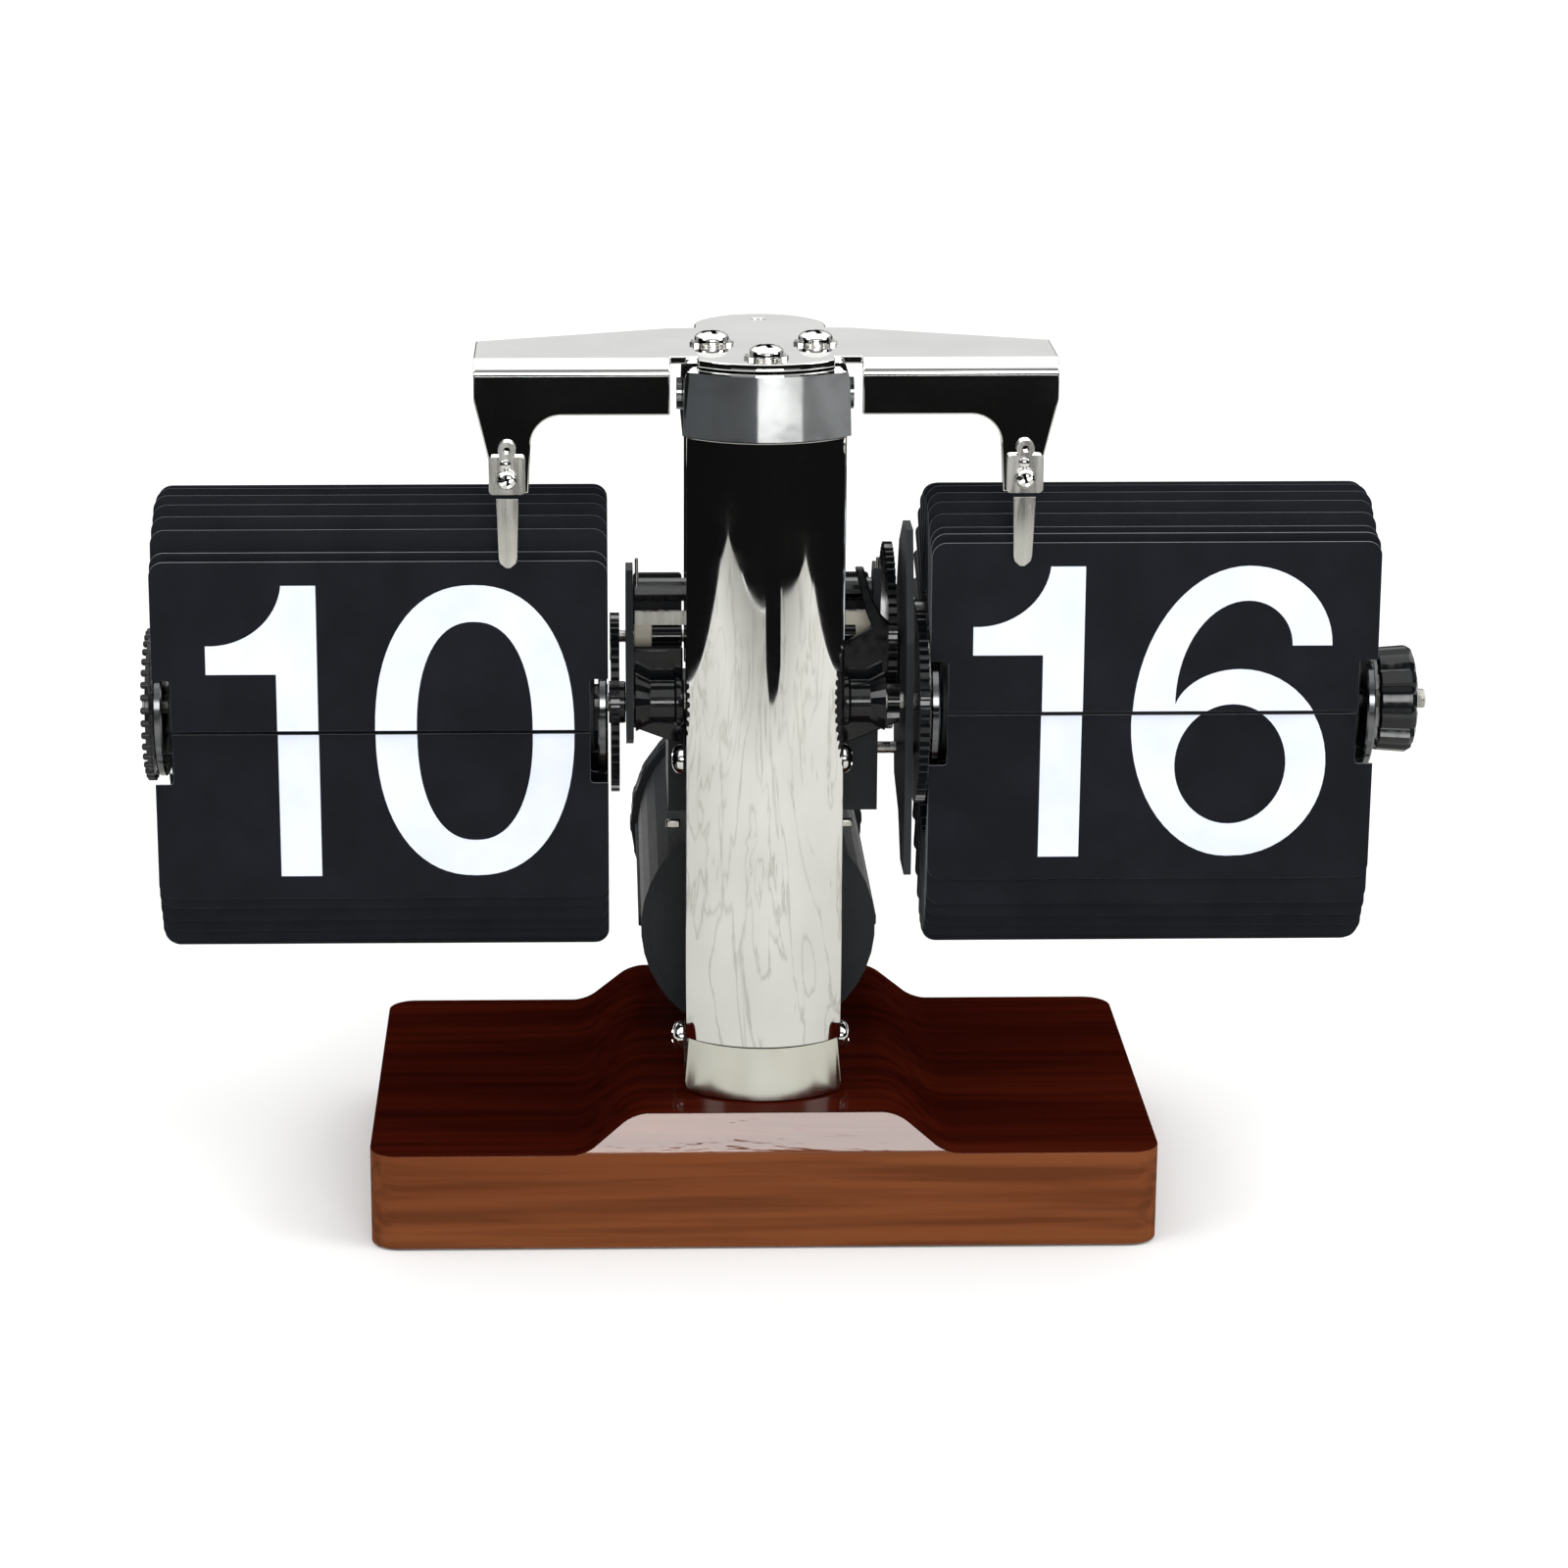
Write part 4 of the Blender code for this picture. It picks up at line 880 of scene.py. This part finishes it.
def build_display(name, facts):
    """The leaves of one display, from the front one to those that wait round the drum, and their prints."""
    span = facts["span"]
    body = f"{name}_leaf"
    hinge = (LEAF_PLANE, facts["hinge"])
    following = (LEAF_PLANE + 0.8, facts["hinge"] + 1.2)
    lower = (LEAF_PLANE + 1.0, facts["hinge"] - 0.3)
    next_lean = LEAF_LEAN + 1.2
    face = LEAF_THICKNESS / 2.0
    front = add_leaf(f"{name}_front_leaf", span, LEAF_THICKNESS, hinge, LEAF_LEAN, body)
    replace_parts(front, f"{name}_leaf_front")
    next_leaf = add_leaf(f"{name}_next_leaf", span, LEAF_THICKNESS, following, next_lean, FRAME)
    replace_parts(next_leaf, f"{name}_leaf_next")
    hanging = add_leaf(f"{name}_lower_leaf", span, LEAF_THICKNESS, lower, 180.0, FRAME)
    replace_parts(hanging, f"{name}_leaf_lower")
    digits, places = facts["digits"], facts["places"]
    put_print(f"{name}_digits_upper", digits, places, True, hinge, LEAF_LEAN, face, body)
    put_print(f"{name}_digits_lower", digits, places, False, lower, 0.0, face, FRAME)
    digits, places = facts["next_digits"], facts["next_places"]
    put_print(f"{name}_next_upper", digits, places, True, following, next_lean, face, FRAME)
    put_print(f"{name}_next_lower", digits, places, False, hinge, 180.0 + LEAF_LEAN, face, body)
    core = tube((span[0] + 2.2, span[1] - 2.2), 8.0, 4.4, AXLE, "X", 64)
    add_black(f"{name}_drum_core", core, MATT_BLACK, bevel=0.2)
    build_fan(name, span)


def build_fan(name, span):
    """The leaves that wait round the drum, one piece each. Those that hang below it sag a little."""
    pieces = []
    for index in range(WAITING_LEAVES):
        turn = FIRST_TURN + (LAST_TURN - FIRST_TURN) * index / (WAITING_LEAVES - 1)
        outward = math.radians(turn)
        share = max(0.0, (turn - SAG_START) / (LAST_TURN - SAG_START))
        sag = FAN_SAG * math.sin(math.radians(min(1.0, share) * 160.0))
        y_place = AXLE_Y - PIVOT_RADIUS * math.cos(outward)
        if turn < 40.0 or turn > 320.0:
            y_place += 0.9
        hinge = (y_place, AXLE_Z + PIVOT_RADIUS * math.sin(outward) - sag)
        lean = leaf_direction(turn) - 90.0
        if turn < 40.0:
            lean += 2.0
        pieces.append(add_leaf(f"{name}_leaf_{index + 1:02d}", span, WAITING_THICKNESS, hinge, lean, FRAME))
    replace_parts(pieces[0], f"{name}_leaf_fan")


for display_name, display_facts in DISPLAYS.items():
    build_display(display_name, display_facts)
build_base()
build_column()
build_bracket()
build_retainers()

# ---------------------------------------------------------------- small mechanical parts


WALL = 12.6
PLATE_LEFT = -20.6
PLATE_RIGHT = 18.2
ARBOR = (3.01, 91.44)
BATTERY = (0.0, 42.5)
DISC_RADIUS = 11.5
DISC_SPANS = {
    "minute_outer": (95.9, 97.2),
    "hour_outer": (-96.9, -95.5),
    "minute_inner": (26.5, 27.9),
    "hour_inner": (-26.4, -25.0),
}


def build_webs():
    """The flat webs beside the column and the black panels behind the arbor."""
    left_web = [(-21.6, 92.4), (-21.6, 79.6), (-12.7, 76.2), (-12.7, 92.4)]
    add_black("left_web", prism(left_web, -9.4, -7.4, "Y"), GLOSS_BLACK, FRAME, 30.0, 0.3)
    right_web = [(12.7, 76.0), (22.4, 80.0), (22.4, 94.6), (19.4, 97.6), (17.8, 100.6)]
    right_web += [(16.4, 105.6), (15.0, 105.6), (16.6, 99.0), (17.8, 96.0), (12.7, 92.6)]
    add_black("right_web", prism(right_web, -9.4, -7.4, "Y"), GLOSS_BLACK, FRAME, 30.0, 0.3)
    strip = rounded_rectangle((WALL, PLATE_RIGHT), (94.9, 97.1), 0.4, 4)
    shape = prism(strip, -3.7, -3.35, "Y")
    add_piece("strip_label_right", shape, CREAM, FRAME, 30.0)
    for side, span in (("left", (PLATE_LEFT, -WALL)), ("right", (WALL, PLATE_RIGHT))):
        panel = prism(rounded_rectangle(span, (86.0, 101.2), 0.6, 4), 6.4, 7.4, "Y")
        add_black(f"back_panel_{side}", panel, MATT_BLACK, FRAME, 30.0, 0.15)


def bearing_sleeve(span):
    """A flanged sleeve round the axle."""
    low, high = span
    left = [(low, SHAFT_BORE), (low, 3.5), (low + 0.5, 3.9), (low + 1.2, 3.9), (low + 1.6, 3.5)]
    right = [(high - 1.6, 3.5), (high - 1.2, 3.9), (high - 0.5, 3.9), (high, 3.5), (high, SHAFT_BORE)]
    return turned(left + right, AXLE, "X", 48)


def build_sleeves():
    """Sleeves, spacers, pins and clips between the column and the frame plates."""
    for side, step, far, spacer in (
        ("left", 1.0, PLATE_LEFT, (-20.5, -17.6)),
        ("right", -1.0, 19.5, (15.9, PLATE_RIGHT)),
    ):
        arbor_end = spacer[0] if side == "left" else spacer[1]
        sleeve = tube(sorted((-step * WALL, arbor_end)), 1.75, 1.2, ARBOR, "X", 32)
        add_black(f"arbor_sleeve_{side}", sleeve, GLOSS_BLACK, bevel=0.15)
        shape = tube(spacer, 2.05, 1.25, ARBOR, "X", 32)
        add_piece(f"arbor_spacer_{side}", shape, CREAM, FRAME, 40.0, 0.2)
        bearing = bearing_sleeve(sorted((-step * WALL, far)))
        add_black(f"bearing_sleeve_{side}", bearing, GLOSS_BLACK)
        profile = [(99.6, 0.0), (99.6, 0.3), (106.0, 0.3), (106.2, 0.0)]
        add_steel(f"pillar_pin_{side}", turned(profile, (far + step * 0.5, -3.0), "Z", 16))
        clip = block(sorted((-step * 13.0, -step * 15.4)), (-4.4, -3.0), (60.6, 62.0))
        add_steel(f"tube_clip_{side}", clip, bevel=0.3)
    profile = [(-24.7, SHAFT_BORE), (-24.7, 3.4), (-22.2, 3.4), (-22.0, 3.2), (-22.0, SHAFT_BORE)]
    add_black("hour_hub", turned(profile, AXLE, "X", 48), GLOSS_BLACK, "hour_drum")


def build_battery_details():
    """The cap's grip and slotted face, and the holder's nose and ribs."""
    outline = ring_outline(BATTERY, 96, lambda index: 20.9 if index % 4 in (0, 1) else 20.45)
    grip = carve(prism(outline, 59.2, 63.2, "Y"), cylinder((58.0, 64.5), 20.2, BATTERY, "Y", 64))
    add_black("battery_cap_grip", grip, MATT_BLACK, "battery_door", 25.0)
    profile = [(64.55, 0.0), (64.55, 17.0), (64.95, 17.4), (64.95, 19.0), (64.3, 19.8), (64.3, 0.0)]
    face = carve(turned(profile, BATTERY, "Y", 72), block((-8.0, 8.0), (64.0, 66.0), (41.6, 43.4)))
    add_black("battery_cap_face", face, MATT_BLACK, "battery_door", 25.0)
    profile = [(-1.6, 0.0), (-1.6, 17.9), (-1.2, 18.6), (-0.6, 19.4), (0.0, 19.4), (0.0, 0.0)]
    add_black("battery_tube_nose", turned(profile, BATTERY, "Y", 72), MATT_BLACK, FRAME, 30.0)
    for side, side_name in ((-1.0, "left"), (1.0, "right")):
        rib = block(sorted((side * 18.9, side * 19.9)), (2.0, 56.0), (41.6, 43.4))
        add_black(f"battery_tube_rib_{side_name}", rib, MATT_BLACK, FRAME, 30.0, 0.25)


def rim_disc(span, radius):
    """A drum disc with rounded rims and a bore for the shaft."""
    low, high = span
    profile = [(low, SHAFT_BORE), (low, radius - 0.25), (low + 0.25, radius)]
    profile += [(high - 0.25, radius), (high, radius - 0.25), (high, SHAFT_BORE)]
    return turned(profile, AXLE, "X", 96)


def build_drum_details():
    """The drums' discs and the plate with the hour drum's pegs."""
    for name, span in DISC_SPANS.items():
        body = f"{name.split('_')[0]}_drum"
        piece = add_black(f"{name}_rim_disc", rim_disc(span, DISC_RADIUS), DARK_METAL, body)
        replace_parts(piece, f"{name}_disc")
    pegs = bmesh.new()
    peg = [(-98.75, 0.0), (-98.75, 0.35), (-98.5, 0.6), (-97.4, 0.6), (-97.4, 0.0)]
    for centre in ring_outline(AXLE, 36, lambda index: 11.7):
        merge_into(pegs, turned(peg, centre, "X", 10))
    add_black("hour_detent_pegs", pegs, GLOSS_BLACK, "hour_drum")
    plate = tube((-98.1, -97.35), 12.0, SHAFT_BORE, AXLE, "X", 96)
    piece = add_black("hour_detent_plate", plate, GLOSS_BLACK, "hour_drum", 40.0, 0.1)
    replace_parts(piece, "hour_detent_ring")


KNOB_SECTIONS = ((98.5, 7.6), (98.9, 8.3), (103.6, 8.65), (104.4, 8.2), (104.8, 7.0))
KNOB_LOBES = 14
LOBE_STEPS = 8
THREAD_PITCH = 0.3


def build_knob():
    """The knob with its lobes, recess, nut and the thread of the shaft."""
    steps = KNOB_LOBES * LOBE_STEPS
    dips = [0.95 * max(0.0, math.cos(2.0 * math.pi * index / LOBE_STEPS)) ** 2.0 for index in range(steps)]
    outlines = []
    for along, reach in KNOB_SECTIONS:
        outline = ring_outline(AXLE, steps, lambda index: reach - dips[index])
        outlines.append([(along, y, z) for y, z in outline])
    recess = cylinder((104.0, 106.0), 5.6, AXLE, "X", 48)
    bore = cylinder((98.0, 106.0), 1.7, AXLE, "X", 24)
    knob = carve(loft(outlines), recess, bore)
    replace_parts(add_black("knurled_knob", knob, GLOSS_BLACK, "minute_drum", 30.0), "set_knob")
    hexagon = prism(ring_outline(AXLE, 6, lambda index: 2.9), 104.1, 105.5, "X")
    nut = carve(hexagon, cylinder((103.0, 107.0), 1.55, AXLE, "X", 24))
    add_steel("knob_nut", nut, 30.0, 0.15, "minute_drum")
    thread = [(105.0, 0.0), (105.0, 1.62)]
    for index in range(6):
        crest = 105.15 + THREAD_PITCH * index
        thread += [(crest, 1.62), (crest + THREAD_PITCH / 2.0, 1.35)]
    thread += [(107.0, 1.2), (107.0, 0.0)]
    add_steel("shaft_thread", turned(thread, AXLE, "X", 24), 20.0, body="minute_drum")


build_webs()
build_sleeves()
build_battery_details()
build_drum_details()
build_knob()

# ---------------------------------------------------------------- carried-over nodes

BLACK_NODES = ("column_core", "column_back", "frame_plate_left", "frame_plate_inner", "frame_plate_right")
BLACK_NODES += ("motor_case", "motor_lid", "battery_tube", "battery_cap")
GEAR_NODES = ("minute_wheel", "hour_wheel", "minute_pinion", "transfer_wheel", "transfer_pinion")
SHAFT_NODES = ("minute_shaft", "hour_shaft", "transfer_shaft", "motor_shaft")
CARRIED = (
    (MATT_BLACK, BLACK_NODES),
    (GLOSS_BLACK, ("bearing_left", "bearing_right") + GEAR_NODES),
    (STEEL, ("frame_strip", "battery_spring") + SHAFT_NODES),
    (DARK_METAL, ("frame_pillar",)),
    (BRASS, ("motor_coil", "motor_pinion")),
    (FELT, ("base_pad",)),
    (GREEN, ("circuit_board",)),
    (JACKET, ("battery_cell",)),
)
for node_material, node_names in CARRIED:
    for node_name in node_names:
        for material_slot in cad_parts[node_name].material_slots:
            material_slot.material = node_material

# ---------------------------------------------------------------- stage


def stage_plane(name, outline_points, colour):
    shape = bmesh.new()
    shape.faces.new([shape.verts.new(point) for point in outline_points])
    mesh = bpy.data.meshes.new(name)
    shape.to_mesh(mesh)
    shape.free()
    plane = bpy.data.objects.new(name, mesh)
    bpy.context.scene.collection.objects.link(plane)
    look = Shader(f"{name}_look", colour, 0.9)
    look.set("Specular IOR Level", 0.0)
    mesh.materials.append(look.material)
    return plane


def only_in_reflections(plane):
    plane.visible_camera = False
    plane.visible_diffuse = False
    plane.visible_shadow = False
    plane.visible_transmission = False


def level(points, z):
    return [(x, y, z) for x, y in points]


def wall_across(x_span, y, top):
    return [(x, y, z) for x, z in corners(x_span, (0.0, top))]


def wall_beside(x, y_span, top):
    return [(x, y, z) for y, z in corners(y_span, (0.0, top))]


def board_material():
    """The pale veined board that only the chrome sees, with painted shade that darkens it towards its front
    edge.
    """
    look = Shader("reflected_board_look", (0.66, 0.66, 0.63), 0.6)
    look.set("Specular IOR Level", 0.0)
    warp = look.noise(10.0, 7.0, (1.0, 0.7, 1.0), 1.6)
    pale = (0.64, 0.64, 0.61)
    veins = look.ramp(warp, [(0.465, pale), (0.495, (0.46, 0.455, 0.42)), (0.52, pale)])
    cloud = look.ramp(look.noise(3.0, 3.0), [(0.3, (0.86, 0.86, 0.84)), (0.7, (1.0, 1.0, 1.0))])
    place = look.tree.nodes.new("ShaderNodeSeparateXYZ")
    look.tree.links.new(look.coordinates.outputs["Object"], place.inputs[0])
    # Painted shade: the board darkens towards its front edge, away from the column.
    near = look.span(place.outputs["Y"], 0.0, 1.0, -0.45, -0.30)
    shade = look.ramp(near, [(0.0, (0.50, 0.50, 0.50)), (1.0, (1.0, 1.0, 1.0))])
    mottled = look.mix(1.0, veins, cloud, "MULTIPLY")
    look.link(look.mix(1.0, mottled, shade, "MULTIPLY"), "Base Color")
    return look.material


def ring_segment(inner, outer, turns, height):
    """A ring segment on the floor round the column. Turns are in degrees from the front towards the right."""
    centre_y = -0.031
    points = []
    for radius, (start, end) in ((inner, turns), (outer, (turns[1], turns[0]))):
        for index in range(13):
            turn = math.radians(start + (end - start) * index / 12)
            points.append((radius * math.sin(turn), centre_y - radius * math.cos(turn), height))
    return points


BOARD_X = (-0.350, 0.358)
BOARD_Y = (-0.447, 0.16)
FAR_X = 2.0
FAR_Y = -2.5
FLAG_BLACK = (0.004, 0.004, 0.004)


def build_stage():
    """The white floor, with the board and the dark flags on it that only reflections see."""
    stage_plane("floor", level(corners((-4.0, 4.0), (-4.0, 3.0)), 0.0), (0.92, 0.92, 0.915))
    blob = [(0.004, -0.46), (0.010, -0.389), (0.030, -0.355), (0.052, -0.351)]
    blob += [(0.084, -0.356), (0.106, -0.374), (0.130, -0.46)]
    corner_left = [(-0.18, -0.447), (-0.322, -0.417), (-0.352, -0.34)]
    corner_left += [(-FAR_X, -0.34), (-FAR_X, FAR_Y), (-0.18, FAR_Y)]
    corner_right = [(0.136, -0.440), (0.136, FAR_Y), (FAR_X, FAR_Y)]
    corner_right += [(FAR_X, -0.30), (0.352, -0.30), (0.33, -0.375)]
    flags = {
        "flag_front": level(corners((-FAR_X, FAR_X), (FAR_Y, BOARD_Y[0])), 0.001),
        "flag_blob": level(blob, 0.0008),
        "flag_left": level(corners((-FAR_X, BOARD_X[0]), BOARD_Y), 0.001),
        "flag_corner_left": level(corner_left, 0.0012),
        "flag_corner_right": level(corner_right, 0.0012),
        "flag_right": level(corners((BOARD_X[1], FAR_X), BOARD_Y), 0.001),
        "flag_back": wall_across((-0.5, 0.5), 0.4, 0.204),
        "flag_wall": wall_across((-2.5, 2.5), -2.4, 0.34),
        "flag_wall_left": wall_beside(-FAR_X, (-2.4, 0.4), 1.4),
        "flag_wall_right": wall_beside(FAR_X, (-2.4, 0.4), 1.4),
    }
    for name, points in flags.items():
        only_in_reflections(stage_plane(name, points, FLAG_BLACK))
    cap_cards = {
        "cap_card_middle": ((-8.0, 36.0), (0.74, 0.75, 0.75)),
        "cap_card_right": ((36.0, 110.0), (0.20, 0.205, 0.21)),
        "cap_card_left": ((-110.0, -8.0), (0.075, 0.08, 0.085)),
    }
    for name, (turns, colour) in cap_cards.items():
        only_in_reflections(stage_plane(name, ring_segment(0.84, 1.20, turns, 0.0014), colour))
    board = stage_plane("reflected_board", level(corners(BOARD_X, BOARD_Y), 0.0003), (0.7, 0.7, 0.68))
    board.data.materials[0] = board_material()
    only_in_reflections(board)


def area_light(name, place, target, size, power, colour=(1.0, 1.0, 1.0)):
    data = bpy.data.lights.new(name, "AREA")
    data.shape = "RECTANGLE"
    data.size, data.size_y = size
    data.energy = power
    data.color = colour
    lamp = bpy.data.objects.new(name, data)
    lamp.location = place
    lamp.rotation_euler = (Vector(target) - Vector(place)).to_track_quat("-Z", "Y").to_euler()
    lamp.visible_camera = False
    bpy.context.scene.collection.objects.link(lamp)


def build_world():
    """An even studio glow, with the backdrop behind the object kept white."""
    world = bpy.data.worlds.new("studio")
    world.use_nodes = True
    tree = world.node_tree
    background = tree.nodes["Background"]
    paths = tree.nodes.new("ShaderNodeLightPath")
    strength = tree.nodes.new("ShaderNodeMapRange")
    strength.inputs["To Min"].default_value = 0.32
    strength.inputs["To Max"].default_value = 1.0
    tree.links.new(paths.outputs["Is Camera Ray"], strength.inputs["Value"])
    tree.links.new(strength.outputs["Result"], background.inputs["Strength"])
    background.inputs["Color"].default_value = (1.0, 1.0, 1.0, 1.0)
    bpy.context.scene.world = world


def build_lights():
    build_world()
    target = (0.0, 0.0, 0.06)
    area_light("softbox_front", (0.10, -1.27, 0.385), (0.0, 0.0, 0.05), (0.7, 0.26), 5.5)
    area_light("softbox_right", (1.1, -0.5, 0.75), target, (0.6, 0.6), 5.0)
    area_light("softbox_left", (-1.0, -0.7, 0.8), target, (0.5, 0.5), 3.0)
    area_light("softbox_top", (0.0, 0.9, 2.3), (0.0, 0.9, 0.0), (7.0, 7.0), 166.0)
    area_light("card_back", (0.0, 1.5, 0.55), (0.0, 0.0, 0.14), (2.2, 0.5), 1.7)


CAMERA_PLACE = (-0.0256, -0.6754, 0.2645)
CAMERA_DOWN = 16.3
CAMERA_TURN = -1.04
CAMERA_LENS = 97.8
CAMERA_SHIFT = 0.0677


def build_camera():
    data = bpy.data.cameras.new("camera")
    data.sensor_width = 36.0
    data.lens = CAMERA_LENS
    data.shift_x = CAMERA_SHIFT
    data.clip_start = 0.05
    data.clip_end = 50.0
    camera = bpy.data.objects.new("camera", data)
    camera.location = CAMERA_PLACE
    camera.rotation_euler = (math.radians(90.0 - CAMERA_DOWN), 0.0, math.radians(CAMERA_TURN))
    bpy.context.scene.collection.objects.link(camera)
    bpy.context.scene.camera = camera


build_stage()
build_lights()
build_camera()
bpy.context.scene.view_settings.view_transform = "Standard"
